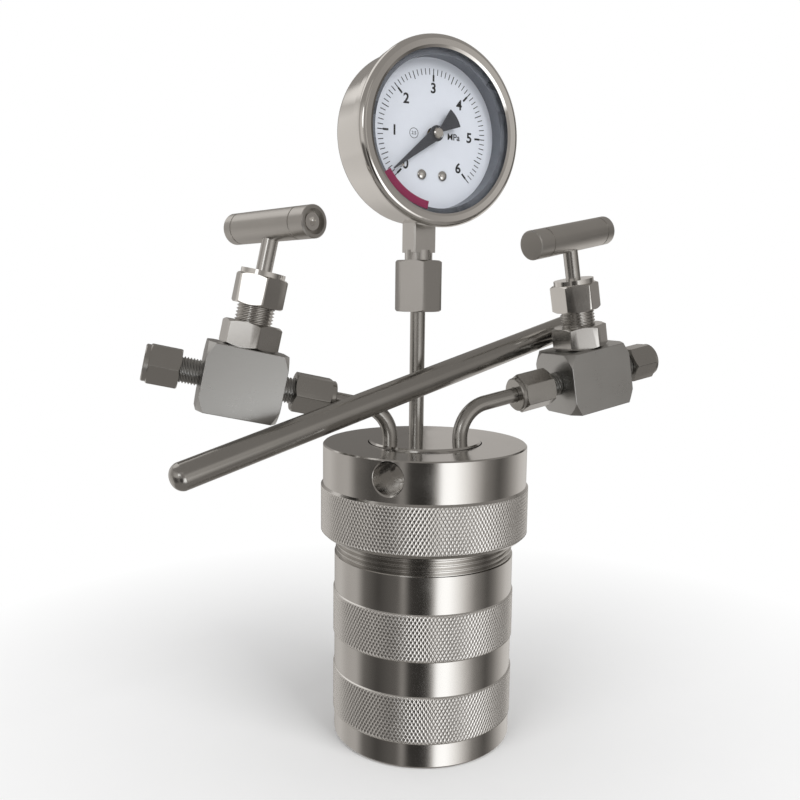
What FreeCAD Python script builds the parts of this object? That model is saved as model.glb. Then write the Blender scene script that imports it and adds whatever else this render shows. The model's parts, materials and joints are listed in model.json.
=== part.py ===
import FreeCAD, Part

import math
import os

# Hydrothermal reactor: a knurled steel kettle with a PTFE liner, a screw cap, and a steel lid
# that carries a pressure gauge and two needle valves on bent 6 mm tubes.
# The part stands on its base at z = 0, with the kettle's axis on Z. Lengths are millimetres.
# Angles are degrees, and a bearing is measured from +X towards +Y.

# ---- kettle body ----
BODY_R = 35.4             # smooth bands
BODY_KNURL_PROUD = 0.45   # how far a knurled band stands out
BASE_BAND_TOP = 9.7
LOWER_KNURL_TOP = 28.3
MIDDLE_BAND_TOP = 41.4
UPPER_KNURL_TOP = 59.7
THREAD_LOW = 73.8
THREAD_STEP = 0.45        # the thread's outside lies this far inside the body
THREAD_PITCH = 2.0
THREAD_TURNS = 3.75       # turns of thread in mesh
FLOOR_THICKNESS = 12.0
BODY_EDGE = 1.0           # chamfer round the base
BAND_EDGE = 0.4           # slope at each end of a knurled band

# ---- liner and cover ----
RIM_WALL = 4.95           # from the liner's flange out to the thread's outside
LINER_WALL = 4.5
LINER_FLOOR = 5.0
LINER_FLANGE_PROUD = 3.0  # how far the flange stands out past the liner
LINER_FLANGE = 3.0
COVER_DISC = 3.0
COVER_PLUG = 5.0
LINER_CLEARANCE = 0.3

# ---- lid, washer and cap ----
CAP_WALL = 4.9            # skirt, from the thread's clearance out
CAP_KNURL_PROUD = 0.8
CAP_LOW = 82.1
CAP_KNURL_TOP = 101.0
CAP_TOP = 117.3
CAP_CROWN = 14.5          # thickness of the cap's top
CAP_EDGE = 0.5
CAP_SKIRT_EDGE = 1.2
BOSS_R = 22.0
BOSS_PROUD = 0.9          # the lid's boss above the cap
BOSS_EDGE = 0.6
LID_INSET = 2.1           # lid flange to the cap's bore
LID_SPIGOT = 0.8          # step under the lid that enters the kettle's rim
RIM_GAP = 0.3             # lid flange to the kettle's rim
WASHER_THICKNESS = 1.5
WASHER_INSET = 1.0        # washer's edge to the lid flange's
CAP_CLEARANCE = 0.4       # boss to cap
THREAD_CLEARANCE = 0.15
BAR_HOLE_R = 6.0
BAR_HOLE_DEPTH = 13.0
BAR_HOLE_DROP = 7.0       # below the cap's top
BAR_HOLE_BEARING = -130.0
BAR_HOLE_EDGE = 0.6       # chamfer at the hole's mouth
PILOT_R = 4.0             # smaller hole at the bottom of the bar hole
PILOT_DEPTH = 2.5

# ---- tubes ----
TUBE_R = 3.0
TUBE_WALL = 1.0
PORT_CIRCLE_R = 14.0      # the three ports lie on one circle
GAUGE_PORT_BEARING = 84.0
TUBE_SEAT = 14.0          # how deep a tube goes into the lid
BEND_RISE = 11.9          # from the lid up to where a side tube's two straight lines meet
BEND_R = 13.5
FIT = 0.05                # a tube in its socket
PORT_DRILL_R = 1.6

# ---- needle valves ----
BLOCK_SIDE = 25.4
BLOCK_LENGTH = 29.5
BLOCK_END_R = 14.5        # round the turned ends of the square block
BLOCK_END_CUT = 2.6
FLOW_R = 2.0
PASSAGE_R = 1.2           # slanting hole from the inlet up to the chamber
PASSAGE_RISE = 1.2        # where that hole enters, above the seat
SEAT_R = 1.75
SEAT_HEIGHT = 3.0
SPIGOT_LOW = 5.0
CHAMBER_R = 5.0
NIPPLE_R = 4.9
NIPPLE_END = 26.0
TUBE_STOP = 19.5
NUT_HEX = 14.0
NUT_LENGTH = 11.2         # of the nut's flats
INNER_NUT_LENGTH = 14.0   # the nut on the reactor's side is longer
NUT_WEB = 4.0             # from the nut's inner shoulder to its outer one
NUT_COLLAR = 1.8
NUT_COLLAR_R = 6.8
NUT_EDGE = 0.4
FERRULE_R = 4.5
FERRULE_NOSE_R = 3.4
FERRULE_NOSE = 2.5        # how far its nose reaches into the nipple
FERRULE_LENGTH = 6.1
FERRULE_BEVEL = 0.2
NUT_CLEARANCE = 0.15
BONNET_HEX = 20.0
BONNET_HEIGHT = 9.2
NECK_R = 7.0
NECK_TOP = 34.0
PACKING_R = 4.5
PACKING_DEPTH = 8.0       # of its pocket, from the neck's end
PACKING_HEIGHT = 4.0
GLAND_HEX = 17.5
GLAND_LENGTH = 11.1       # of the nut's flats
GLAND_CROWN = 3.4         # from the nut's inner roof to its shoulder
GLAND_COLLAR = 1.8
GLAND_COLLAR_R = 8.2
GLAND_GAP = 0.6           # from the neck's end to the gland's flange
GLAND_FLANGE_R = 6.5
GLAND_FLANGE = 1.4
STEM_R = 3.0
STEM_LOW = 8.0
STEM_CLEARANCE = 0.1
NEEDLE_R = 2.4
NEEDLE_SLOPE = 30.0       # half angle of the needle's cone
NEEDLE_TIP = 1.5          # how far the cone reaches below the seat
NEEDLE_PIN_R = 1.2
NEEDLE_PIN = 3.0
HANDLE_RISE = 17.1        # from the gland nut to the handle's axis
HANDLE_R = 5.9
HANDLE_LENGTH = 46.0
HANDLE_EDGE = 0.4
HANDLE_GROOVES = (7.8, 4.4)    # from the near end, and from the far end
GROOVE_WIDTH = 0.5
GROOVE_DEPTH = 0.2
HANDLE_BORE_R = 4.5
HANDLE_BORE = 3.2
STEM_GRIP = 1.5           # how far the stem goes past the handle's axis
SCREW_R = 2.5
SCREW_HEAD_R = 3.1
SCREW_HEAD = 2.0
SCREW_HEX = 3.0
SCREW_SOCKET = 1.5

# ---- each side's own tube and valve ----
LEFT_REACH = 57.2         # level distance from the port to the stem
RIGHT_REACH = 60.1
SIDES = {
    "left": {
        "port": 172.5,        # bearing of the port in the lid
        "bearing": 175.5,     # bearing of the flow axis, outwards
        "rise": 12.2,         # the flow axis climbs outwards
        "reach": LEFT_REACH,
        "bonnet_clock": 39.0,
        "gland_clock": 35.4,
        "inner_clock": 35.0,
        "outer_clock": 30.0,
        "handle": 120.7,      # where the near end of the handle points at rest
        "tilt": 7.8,          # the near end stands up, because the handle sits slack
        "bore_at_near_end": True,
    },
    "right": {
        "port": -12.0,
        "bearing": 7.0,
        "rise": 10.4,
        "reach": RIGHT_REACH,
        "bonnet_clock": 34.0,
        "gland_clock": 31.0,
        "inner_clock": 0.0,
        "outer_clock": 30.0,
        "handle": 193.0,
        "tilt": 0.0,
        "bore_at_near_end": False,
    },
}

# ---- gauge connection ----
COUPLING_HEX = 17.0
COUPLING_DROP = 67.8      # from the dial's centre down to the nut's lower end
COUPLING_LENGTH = 20.3
COUPLING_CLOCK = 21.3
COUPLING_WEB = 4.0        # wall under the tube's collar
TUBE_COLLAR_R = 5.0
TUBE_COLLAR = 3.0
WASHER_SEAL = 1.2
SPIGOT_R = 5.5
SOCKET_DROP = 44.5        # from the dial's centre down to the square part's lower end
SOCKET_SIDE = 10.0
SOCKET_EDGE = 0.6
SOCKET_TOP = 21.0         # below the dial's centre
SOCKET_BORE_R = 1.5
SOCKET_CLEARANCE = 0.15

# ---- gauge head: depths run from the socket's axis towards the viewer of the dial ----
GAUGE_RISE = 117.6        # from the lid up to the dial's centre
GAUGE_BEARING = -79.0     # where the dial faces
CASE_R = 33.3
CASE_WALL = 1.0
CASE_BACK = -9.0
CASE_BACK_ROUND = 4.0
CASE_FRONT = 14.6
BEZEL_PROUD = 1.9         # the bezel's bead outside the case
BEZEL_SKIRT = 1.2
BEZEL_BACK = 9.4
BEZEL_FRONT = 17.4
BEZEL_LIP = 16.6
BEZEL_COVER = 3.1         # how far the lip comes in over the glass
BEZEL_NECK = 3.4          # from the lip back to the end of the skirt
BEZEL_BEAD = 2.4          # from the lip back to the widest point
BEZEL_ROUND = 0.5
BEZEL_CREST = 0.6         # the crest lies this far outside the middle of the bead
BEZEL_SLOPE = 1.0
BEZEL_DROP = 0.3
BEZEL_CLEARANCE = 0.15
WINDOW_THICKNESS = 1.8
WINDOW_RING_WIDTH = 5.1   # from the case's outside in
DIAL_FRONT = 9.04
DIAL_THICKNESS = 0.6
DIAL_HOLE_R = 2.5
DIAL_SCREW_X = 4.7
DIAL_SCREW_Y = -15.3
DIAL_SCREW_R = 2.1
DIAL_SCREW_HEAD = 1.1
DIAL_SCREW_SHANK_R = 0.9
DIAL_SLOT_WIDTH = 0.5
DIAL_SLOT_DEPTH = 0.4
ZERO_ANGLE = 217.5        # where the pointer rests, counted anticlockwise from 3 o'clock
PIN_R = 0.5
PIN_CIRCLE_R = 19.8
PIN_FRONT = 12.7
POINTER_BACK = 11.8
POINTER_THICKNESS = 0.4
POINTER_LENGTH = 23.4
POINTER_ROOT = 2.4        # half width at the hub
POINTER_TIP = 0.25        # half width at the tip
POINTER_TAIL = 11.2
POINTER_TAIL_SPREAD = 40.0
POINTER_EYE_R = 3.0
HUB_R = 2.1
HUB_NECK = 0.6            # the neck that carries the pointer is this much slimmer
HUB_EDGE = 0.45
PRESS_FIT = 0.02
HUB_BACK = 10.6
HUB_FRONT = 14.0
SHAFT_R = 0.8
SHAFT_BACK = -2.0
PINION_R = 1.6
PINION_SPARE = 0.3        # the pinion is this much longer than the sector at each end
SHAFT_END_GAP = 0.1
HUB_CAP = 1.0             # solid front of the hub, past the shaft
POINTER_TURN = 270.0      # full scale
SECTOR_R = 12.5
SECTOR_BACK = 1.6
SECTOR_THICKNESS = 1.6
SECTOR_SPARE = 6.0        # degrees of rim past each end of the travel
SECTOR_TAIL = 6.0
SECTOR_TAIL_WIDTH = 2.4
SECTOR_HUB_R = 2.2
ARBOR_R = 0.9
MESH_CLEARANCE = 0.1
FRAME_HALF_WIDTH = 8.5
FRAME_TOP = 5.0
FRAME_PLATE = 1.2
FRAME_BACK = -1.2
FRAME_GAP = 5.0
FRAME_POST_R = 1.1
FRAME_FOOT = 1.2
FRAME_RIVET = 0.5         # how far a post goes into the front plate
SCREW_REACH = 2.0         # how far a dial screw goes past the dial
BOSS_SCREW_R = 2.0
BOURDON_R = 24.0
BOURDON_RADIAL = 3.0
BOURDON_DEPTH = 5.0
BOURDON_WALL = 0.5
BOURDON_BACK = -7.4
BOURDON_END = -15.0       # bearing of the spring tube's free end
BOURDON_PLUG = 4.0
BOURDON_PLUG_WALL = 0.5
LINK_WIDTH = 1.6
LINK_THICKNESS = 0.5

# ---- tommy bar, laid across the left tube and the right block ----
BAR_R = 5.0
BAR_LENGTH = 190.0
BAR_NOSE = 3.5            # length of the rounded nose
BAR_EDGE = 0.6
BAR_TUBE_GAP = 0.1        # clear of the left tube
BAR_BONNET_GAP = 0.05     # clear of the right bonnet's corners
BAR_BLOCK_GAP = 0.7       # over the middle of the right block
BAR_LEFT_ALONG = 53.4     # from the left stem in to where the bar crosses the tube
BAR_LEFT_TILT = 37.6      # the bar lies this far round the tube, up from its front
BAR_RIGHT_ALONG = 2.5     # from the right stem in to the bar's nearest point
BAR_OVERHANG = 87.6       # from the left crossing to the bar's nose

# ---- sizes that follow ----
THREAD_R = BODY_R - THREAD_STEP
CAP_R = THREAD_R + THREAD_CLEARANCE + CAP_WALL
LINER_FLANGE_R = THREAD_R - RIM_WALL
LINER_R = LINER_FLANGE_R - LINER_FLANGE_PROUD
LID_FLANGE_R = THREAD_R + THREAD_CLEARANCE - LID_INSET
WASHER_R = LID_FLANGE_R - WASHER_INSET
BEZEL_R = CASE_R + BEZEL_PROUD
BEZEL_OPENING_R = CASE_R - BEZEL_COVER
WINDOW_RING_R = CASE_R - WINDOW_RING_WIDTH
CAP_RISE = THREAD_PITCH * THREAD_TURNS
BODY_TOP = CAP_LOW + CAP_RISE
LINER_TOP = BODY_TOP + RIM_GAP - LID_SPIGOT - COVER_DISC
LINER_LOW = FLOOR_THICKNESS
LINER_FLANGE_LOW = LINER_TOP - LINER_FLANGE
COVER_TOP = LINER_TOP + COVER_DISC
CAP_ROOF = CAP_TOP - CAP_CROWN
LID_SHOULDER = CAP_ROOF - WASHER_THICKNESS
LID_TOP = CAP_TOP + BOSS_PROUD
BAR_HOLE_HEIGHT = CAP_TOP - BAR_HOLE_DROP
BEND_CORNER = LID_TOP + BEND_RISE
GAUGE_HEIGHT = LID_TOP + GAUGE_RISE
TUBE_LOW = LID_TOP - TUBE_SEAT
NUT_BORE_R = NIPPLE_R + NUT_CLEARANCE
FERRULE_FRONT = NIPPLE_END - FERRULE_NOSE
NUT_SEAT = FERRULE_FRONT + FERRULE_LENGTH      # inner shoulder, which pushes the ferrule
NUT_SHOULDER = NUT_SEAT + NUT_WEB
NUT_END = NUT_SHOULDER + NUT_COLLAR
NUT_LOW = NUT_SHOULDER - NUT_LENGTH
INNER_NUT_LOW = NUT_SHOULDER - INNER_NUT_LENGTH
COUPLING_LOW = GAUGE_HEIGHT - COUPLING_DROP
COUPLING_HIGH = COUPLING_LOW + COUPLING_LENGTH
SOCKET_LOW = GAUGE_HEIGHT - SOCKET_DROP
COLLAR_LOW = COUPLING_LOW + COUPLING_WEB
SEAL_LOW = COLLAR_LOW + TUBE_COLLAR
SPIGOT_LOW_END = SEAL_LOW + WASHER_SEAL
BLOCK_HALF = BLOCK_SIDE / 2
BONNET_TOP = BLOCK_HALF + BONNET_HEIGHT
PACKING_LOW = NECK_TOP - PACKING_DEPTH
GLAND_ROOF = NECK_TOP + GLAND_GAP + GLAND_FLANGE
GLAND_SHOULDER = GLAND_ROOF + GLAND_CROWN
GLAND_LOW = GLAND_SHOULDER - GLAND_LENGTH
GLAND_END = GLAND_SHOULDER + GLAND_COLLAR
HANDLE_AXIS = GLAND_END + HANDLE_RISE
SECTOR_PIVOT = -(SECTOR_R + PINION_R + MESH_CLEARANCE)
SECTOR_TURN = POINTER_TURN * PINION_R / SECTOR_R


def vector(x, y, z):
    return FreeCAD.Vector(x, y, z)


def cylinder(radius, low, high, x=0.0, y=0.0):
    return Part.makeCylinder(radius, high - low, vector(x, y, low))


def ring(outer, inner, low, high):
    return cylinder(outer, low, high).cut(cylinder(inner, low - 1, high + 1))


def wedge(radius, middle, span, low, high):
    """Slice of a disc, centred on the bearing given by middle."""
    piece = Part.makeCylinder(radius, high - low, vector(0, 0, low), vector(0, 0, 1), span)
    return placed(piece, turn(vector(0, 0, 1), middle - span / 2))


def box(low, high):
    size = [b - a for a, b in zip(low, high)]
    return Part.makeBox(size[0], size[1], size[2], vector(*low))


def outline(steps):
    """Closed face in the XZ plane. A step is a (radius, height) point, or a pair of points
    (via, end) for an arc."""
    edges = []
    start = vector(steps[0][0], 0, steps[0][1])
    first = start
    for step in steps[1:]:
        if isinstance(step[0], tuple):
            via = vector(step[0][0], 0, step[0][1])
            end = vector(step[1][0], 0, step[1][1])
            edges.append(Part.Arc(start, via, end).toShape())
        else:
            end = vector(step[0], 0, step[1])
            edges.append(Part.LineSegment(start, end).toShape())
        start = end
    edges.append(Part.LineSegment(start, first).toShape())
    return Part.Face(Part.Wire(edges))


def turned(steps, angle=360):
    """Solid turned round Z from an outline."""
    return outline(steps).revolve(vector(0, 0, 0), vector(0, 0, 1), angle)


def prism(points, low, high):
    """Upright prism on a list of (x, y) points."""
    corners = [vector(x, y, low) for x, y in points]
    return Part.Face(Part.makePolygon(corners + corners[:1])).extrude(vector(0, 0, high - low))


def hexagon(across_flats, low, high, clock, rounded_top=True):
    """Hexagon bar with turned chamfers at its ends."""
    corner = across_flats / math.sqrt(3)
    slope = (corner - across_flats / 2) * math.tan(math.radians(30))
    points = []
    for index in range(6):
        angle = math.radians(clock + 60 * index)
        points.append((corner * math.cos(angle), corner * math.sin(angle)))
    top = across_flats / 2 if rounded_top else corner
    blank = turned([(0, low), (across_flats / 2, low), (corner, low + slope),
                    (corner, high - slope), (top, high), (0, high)])
    return prism(points, low, high).common(blank)


def placed(shape, placement):
    copy = shape.copy()
    copy.Placement = placement.multiply(copy.Placement)
    return copy


def turn(axis, angle):
    return FreeCAD.Placement(vector(0, 0, 0), FreeCAD.Rotation(axis, angle))


def around_x(shape):
    """Turns a shape built along +Z so that it runs along +X."""
    return placed(shape, turn(vector(0, 1, 0), 90))


def polar(radius, bearing, height=0.0):
    angle = math.radians(bearing)
    return vector(radius * math.cos(angle), radius * math.sin(angle), height)


# ---------------------------------------------------------------- kettle, liner, lid, cap

def knurl_band(radius, proud, low, high):
    """Band that stands proud of a turned surface, with a small slope at each end."""
    return turned([(radius - 1, low), (radius, low), (radius + proud, low + BAND_EDGE),
                   (radius + proud, high - BAND_EDGE), (radius, high), (radius - 1, high)])


def kettle_body():
    body = turned([(0, 0), (BODY_R - BODY_EDGE, 0), (BODY_R, BODY_EDGE), (BODY_R, THREAD_LOW),
                   (THREAD_R, THREAD_LOW), (THREAD_R, BODY_TOP - BODY_EDGE),
                   (THREAD_R - BODY_EDGE, BODY_TOP), (0, BODY_TOP)])
    for low, high in ((BASE_BAND_TOP, LOWER_KNURL_TOP), (MIDDLE_BAND_TOP, UPPER_KNURL_TOP)):
        body = body.fuse(knurl_band(BODY_R, BODY_KNURL_PROUD, low, high))
    body = body.removeSplitter()
    body = body.cut(cylinder(LINER_R + LINER_CLEARANCE, FLOOR_THICKNESS, BODY_TOP + 1))
    return body.cut(cylinder(LINER_FLANGE_R + LINER_CLEARANCE, LINER_FLANGE_LOW, BODY_TOP + 1))


def ptfe_liner():
    inner = LINER_R - LINER_WALL
    return turned([(0, LINER_LOW), (LINER_R, LINER_LOW), (LINER_R, LINER_FLANGE_LOW),
                   (LINER_FLANGE_R, LINER_FLANGE_LOW), (LINER_FLANGE_R, LINER_TOP),
                   (inner, LINER_TOP), (inner, LINER_LOW + LINER_FLOOR),
                   (0, LINER_LOW + LINER_FLOOR)])


def port_points():
    bearings = [GAUGE_PORT_BEARING] + [side["port"] for side in SIDES.values()]
    return [polar(PORT_CIRCLE_R, bearing) for bearing in bearings]


def ptfe_cover():
    plug = LINER_R - LINER_WALL - LINER_CLEARANCE
    cover = turned([(0, LINER_TOP - COVER_PLUG), (plug, LINER_TOP - COVER_PLUG),
                    (plug, LINER_TOP), (LINER_FLANGE_R, LINER_TOP),
                    (LINER_FLANGE_R, COVER_TOP), (0, COVER_TOP)])
    for point in port_points():
        cover = cover.cut(cylinder(PORT_DRILL_R, LINER_TOP - COVER_PLUG - 1, COVER_TOP + 1,
                                   point.x, point.y))
    return cover


def steel_lid():
    flange_low = COVER_TOP + LID_SPIGOT
    lid = turned([(0, COVER_TOP), (LINER_FLANGE_R, COVER_TOP), (LINER_FLANGE_R, flange_low),
                  (LID_FLANGE_R, flange_low), (LID_FLANGE_R, LID_SHOULDER),
                  (BOSS_R, LID_SHOULDER), (BOSS_R, LID_TOP - BOSS_EDGE),
                  (BOSS_R - BOSS_EDGE, LID_TOP), (0, LID_TOP)])
    for point in port_points():
        lid = lid.cut(cylinder(TUBE_R + FIT, TUBE_LOW, LID_TOP + 1, point.x, point.y))
        lid = lid.cut(cylinder(PORT_DRILL_R, COVER_TOP - 1, TUBE_LOW + 1, point.x, point.y))
    return lid


def slip_washer():
    return ring(WASHER_R, BOSS_R + CAP_CLEARANCE, LID_SHOULDER, CAP_ROOF)


def screw_cap():
    knurl_r = CAP_R + CAP_KNURL_PROUD
    cap = turned([(BOSS_R + CAP_CLEARANCE, CAP_ROOF), (THREAD_R + THREAD_CLEARANCE, CAP_ROOF),
                  (THREAD_R + THREAD_CLEARANCE, CAP_LOW), (knurl_r - CAP_SKIRT_EDGE, CAP_LOW),
                  (knurl_r, CAP_LOW + CAP_SKIRT_EDGE), (knurl_r, CAP_KNURL_TOP),
                  (CAP_R, CAP_KNURL_TOP + CAP_KNURL_PROUD), (CAP_R, CAP_TOP - CAP_EDGE),
                  (CAP_R - CAP_EDGE, CAP_TOP), (BOSS_R + CAP_CLEARANCE, CAP_TOP)])
    shoulder = CAP_R - BAR_HOLE_DEPTH
    bottom = shoulder - PILOT_DEPTH
    mouth = CAP_R - BAR_HOLE_EDGE
    hole = turned([(0, bottom), (PILOT_R, bottom), (PILOT_R, shoulder), (BAR_HOLE_R, shoulder),
                   (BAR_HOLE_R, mouth), (BAR_HOLE_R + 2 * BAR_HOLE_EDGE, mouth + 2 * BAR_HOLE_EDGE),
                   (0, mouth + 2 * BAR_HOLE_EDGE)])
    for half_turn in (0, 180):
        drill = FreeCAD.Placement(vector(0, 0, BAR_HOLE_HEIGHT),
                                  FreeCAD.Rotation(vector(0, 0, 1), BAR_HOLE_BEARING + half_turn))
        cap = cap.cut(placed(around_x(hole), drill))
    return cap


# ---------------------------------------------------------------- tubes

def pipe(points, radius):
    """Round bar along straight runs joined by the bend radius at the middle point."""
    start, corner, end = points
    into = (corner - start).normalize()
    out = (end - corner).normalize()
    angle = math.acos(into.dot(out))
    setback = BEND_R * math.tan(angle / 2)
    bend_start = corner - into * setback
    bend_end = corner + out * setback
    middle = (out - into).normalize() * (BEND_R / math.cos(angle / 2) - BEND_R)
    path = Part.Wire([
        Part.LineSegment(start, bend_start).toShape(),
        Part.Arc(bend_start, corner + middle, bend_end).toShape(),
        Part.LineSegment(bend_end, end).toShape(),
    ])
    section = Part.Wire(Part.Circle(start, into, radius).toShape())
    return path.makePipeShell([section], True, False)


def valve_placement(side):
    """Frame of a valve: x outwards along the flow, z up the stem."""
    port = polar(PORT_CIRCLE_R, side["port"])
    out = polar(side["reach"], side["bearing"])
    height = BEND_CORNER + side["reach"] * math.tan(math.radians(side["rise"]))
    rotation = FreeCAD.Rotation(vector(0, 0, 1), side["bearing"]).multiply(
        FreeCAD.Rotation(vector(0, 1, 0), -side["rise"]))
    return FreeCAD.Placement(vector(port.x + out.x, port.y + out.y, height), rotation)


def side_tube(side):
    port = polar(PORT_CIRCLE_R, side["port"])
    frame = valve_placement(side)
    points = [vector(port.x, port.y, TUBE_LOW), vector(port.x, port.y, BEND_CORNER),
              frame.multVec(vector(-TUBE_STOP, 0, 0))]
    return pipe(points, TUBE_R).cut(pipe(points, TUBE_R - TUBE_WALL))


def gauge_tube():
    """Straight tube, with a collar for the coupling nut to pull on."""
    port = polar(PORT_CIRCLE_R, GAUGE_PORT_BEARING)
    tube = ring(TUBE_R, TUBE_R - TUBE_WALL, TUBE_LOW, SEAL_LOW)
    tube = tube.fuse(ring(TUBE_COLLAR_R, TUBE_R - TUBE_WALL, COLLAR_LOW, SEAL_LOW))
    return placed(tube, FreeCAD.Placement(port, FreeCAD.Rotation()))


# ---------------------------------------------------------------- needle valve, in its own frame

def valve_block():
    half = BLOCK_LENGTH / 2
    corner = BLOCK_SIDE / math.sqrt(2) + 1
    slope_in = half - BLOCK_END_CUT * (corner - BLOCK_END_R) / (BLOCK_SIDE / math.sqrt(2)
                                                               - BLOCK_END_R)
    blank = around_x(turned([(0, -half), (BLOCK_END_R, -half), (corner, -slope_in),
                             (corner, slope_in), (BLOCK_END_R, half), (0, half)]))
    block = box((-half, -BLOCK_HALF, -BLOCK_HALF), (half, BLOCK_HALF, BLOCK_HALF)).common(blank)
    block = block.fuse(around_x(cylinder(NIPPLE_R, -NIPPLE_END, NIPPLE_END)))
    mouth_low = FERRULE_FRONT - FERRULE_BEVEL
    mouth = turned([(0, mouth_low), (TUBE_R + FIT, mouth_low),
                    (FERRULE_NOSE_R + FIT, mouth_low), (FERRULE_R, NIPPLE_END),
                    (FERRULE_R, NIPPLE_END + 1), (0, NIPPLE_END + 1)])
    socket = cylinder(TUBE_R + FIT, TUBE_STOP, NIPPLE_END + 1)
    for flip in (0, 180):
        port = placed(around_x(socket.fuse(mouth)), turn(vector(0, 0, 1), flip))
        block = block.cut(port)
    block = block.cut(around_x(cylinder(FLOW_R, -TUBE_STOP - 1, FLOW_R)))
    block = block.cut(around_x(cylinder(FLOW_R, CHAMBER_R + 3 * FLOW_R, TUBE_STOP + 1)))
    block = block.cut(cylinder(SEAT_R, 0, SEAT_HEIGHT + 1))
    block = block.cut(cylinder(CHAMBER_R, SEAT_HEIGHT, SPIGOT_LOW + 1))
    block = block.cut(cylinder(NECK_R + NUT_CLEARANCE, SPIGOT_LOW, BLOCK_HALF + 1))
    rise_start = vector(CHAMBER_R + 3 * FLOW_R + 1, 0, 0)
    rise_end = vector(CHAMBER_R - 1, 0, SEAT_HEIGHT + PASSAGE_RISE)
    run = rise_end - rise_start
    return block.cut(Part.makeCylinder(PASSAGE_R, run.Length, rise_start, run))


def bonnet(clock):
    shape = cylinder(NECK_R, SPIGOT_LOW, NECK_TOP)
    shape = shape.fuse(hexagon(BONNET_HEX, BLOCK_HALF, BONNET_TOP, clock))
    shape = shape.cut(cylinder(STEM_R + STEM_CLEARANCE, SPIGOT_LOW - 1, NECK_TOP + 1))
    return shape.cut(cylinder(PACKING_R + STEM_CLEARANCE, PACKING_LOW, NECK_TOP + 1))


def packing():
    return ring(PACKING_R, STEM_R + FIT, PACKING_LOW, PACKING_LOW + PACKING_HEIGHT)


def gland():
    flange_low = GLAND_ROOF - GLAND_FLANGE
    sleeve = ring(PACKING_R, STEM_R + STEM_CLEARANCE, PACKING_LOW + PACKING_HEIGHT, flange_low)
    return sleeve.fuse(ring(GLAND_FLANGE_R, STEM_R + STEM_CLEARANCE, flange_low, GLAND_ROOF))


def gland_nut(clock):
    nut = hexagon(GLAND_HEX, GLAND_LOW, GLAND_SHOULDER, clock)
    nut = nut.fuse(cylinder(GLAND_COLLAR_R, GLAND_SHOULDER - 1, GLAND_END))
    nut = nut.cut(cylinder(NECK_R + NUT_CLEARANCE, GLAND_LOW - 1, GLAND_ROOF))
    return nut.cut(cylinder(STEM_R + STEM_CLEARANCE, GLAND_ROOF - 1, GLAND_END + 1))


def needle():
    """Tip that slides without turning: a cone, a shank and a pin in the stem."""
    slope = math.tan(math.radians(NEEDLE_SLOPE))
    seat_r = SEAT_R - FIT
    tip_r = seat_r - NEEDLE_TIP * slope
    shoulder = SEAT_HEIGHT + (NEEDLE_R - seat_r) / slope
    return turned([(0, SEAT_HEIGHT - NEEDLE_TIP), (tip_r, SEAT_HEIGHT - NEEDLE_TIP),
                   (NEEDLE_R, shoulder), (NEEDLE_R, STEM_LOW - FIT),
                   (NEEDLE_PIN_R, STEM_LOW - FIT), (NEEDLE_PIN_R, STEM_LOW + NEEDLE_PIN),
                   (0, STEM_LOW + NEEDLE_PIN)])


def stem():
    shape = cylinder(STEM_R, STEM_LOW, HANDLE_AXIS + STEM_GRIP)
    return shape.cut(cylinder(NEEDLE_PIN_R + FIT, STEM_LOW - 1, STEM_LOW + NEEDLE_PIN + FIT))


def along_handle(shape, side, near_end):
    """Puts a shape built along +Z, with the handle's middle at 0, on the handle's axis."""
    rotation = FreeCAD.Rotation(vector(0, 0, 1), side["handle"]).multiply(
        FreeCAD.Rotation(vector(0, 1, 0), -side["tilt"]))
    if not near_end:
        rotation = rotation.multiply(FreeCAD.Rotation(vector(0, 0, 1), 180))
    return placed(around_x(shape), FreeCAD.Placement(vector(0, 0, HANDLE_AXIS), rotation))


def handle(side):
    half = HANDLE_LENGTH / 2
    bar = turned([(0, -half), (HANDLE_R - HANDLE_EDGE, -half), (HANDLE_R, HANDLE_EDGE - half),
                  (HANDLE_R, half - HANDLE_EDGE), (HANDLE_R - HANDLE_EDGE, half), (0, half)])
    near_groove = half - HANDLE_GROOVES[0]
    far_groove = HANDLE_GROOVES[1] - half
    for middle in (near_groove, far_groove):
        bar = bar.cut(ring(HANDLE_R + 1, HANDLE_R - GROOVE_DEPTH, middle - GROOVE_WIDTH / 2,
                           middle + GROOVE_WIDTH / 2))
    bar = along_handle(bar, side, True)
    bore = cylinder(HANDLE_BORE_R, half - HANDLE_BORE, half + 1)
    bore = bore.fuse(cylinder(SCREW_R + FIT, 0, half))
    bar = bar.cut(along_handle(bore, side, side["bore_at_near_end"]))
    return bar.cut(cylinder(STEM_R + FIT, HANDLE_AXIS - 2 * HANDLE_R, HANDLE_AXIS + STEM_GRIP))


def handle_screw(side):
    seat = HANDLE_LENGTH / 2 - HANDLE_BORE
    tilt = math.radians(side["tilt"])
    tip = (STEM_R + 2 * FIT + SCREW_R * math.sin(tilt)) / math.cos(tilt)
    screw = cylinder(SCREW_R, tip, seat)
    screw = screw.fuse(cylinder(SCREW_HEAD_R, seat, seat + SCREW_HEAD))
    screw = screw.cut(hexagon(SCREW_HEX, seat + SCREW_HEAD - SCREW_SOCKET,
                              seat + SCREW_HEAD + 1, 0, rounded_top=False))
    return along_handle(screw, side, side["bore_at_near_end"])


def tube_nut(clock, low):
    """Compression nut along +Z, with its round collar at the far end."""
    nut = hexagon(NUT_HEX, low, NUT_SHOULDER, clock)
    nut = nut.fuse(turned([(0, NUT_SHOULDER - 1), (NUT_COLLAR_R, NUT_SHOULDER - 1),
                           (NUT_COLLAR_R, NUT_END - NUT_EDGE), (NUT_COLLAR_R - NUT_EDGE, NUT_END),
                           (0, NUT_END)]))
    nut = nut.cut(cylinder(NUT_BORE_R, low - 1, NUT_SEAT))
    return nut.cut(cylinder(TUBE_R + NUT_CLEARANCE, NUT_SEAT - 1, NUT_END + 1))


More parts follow.
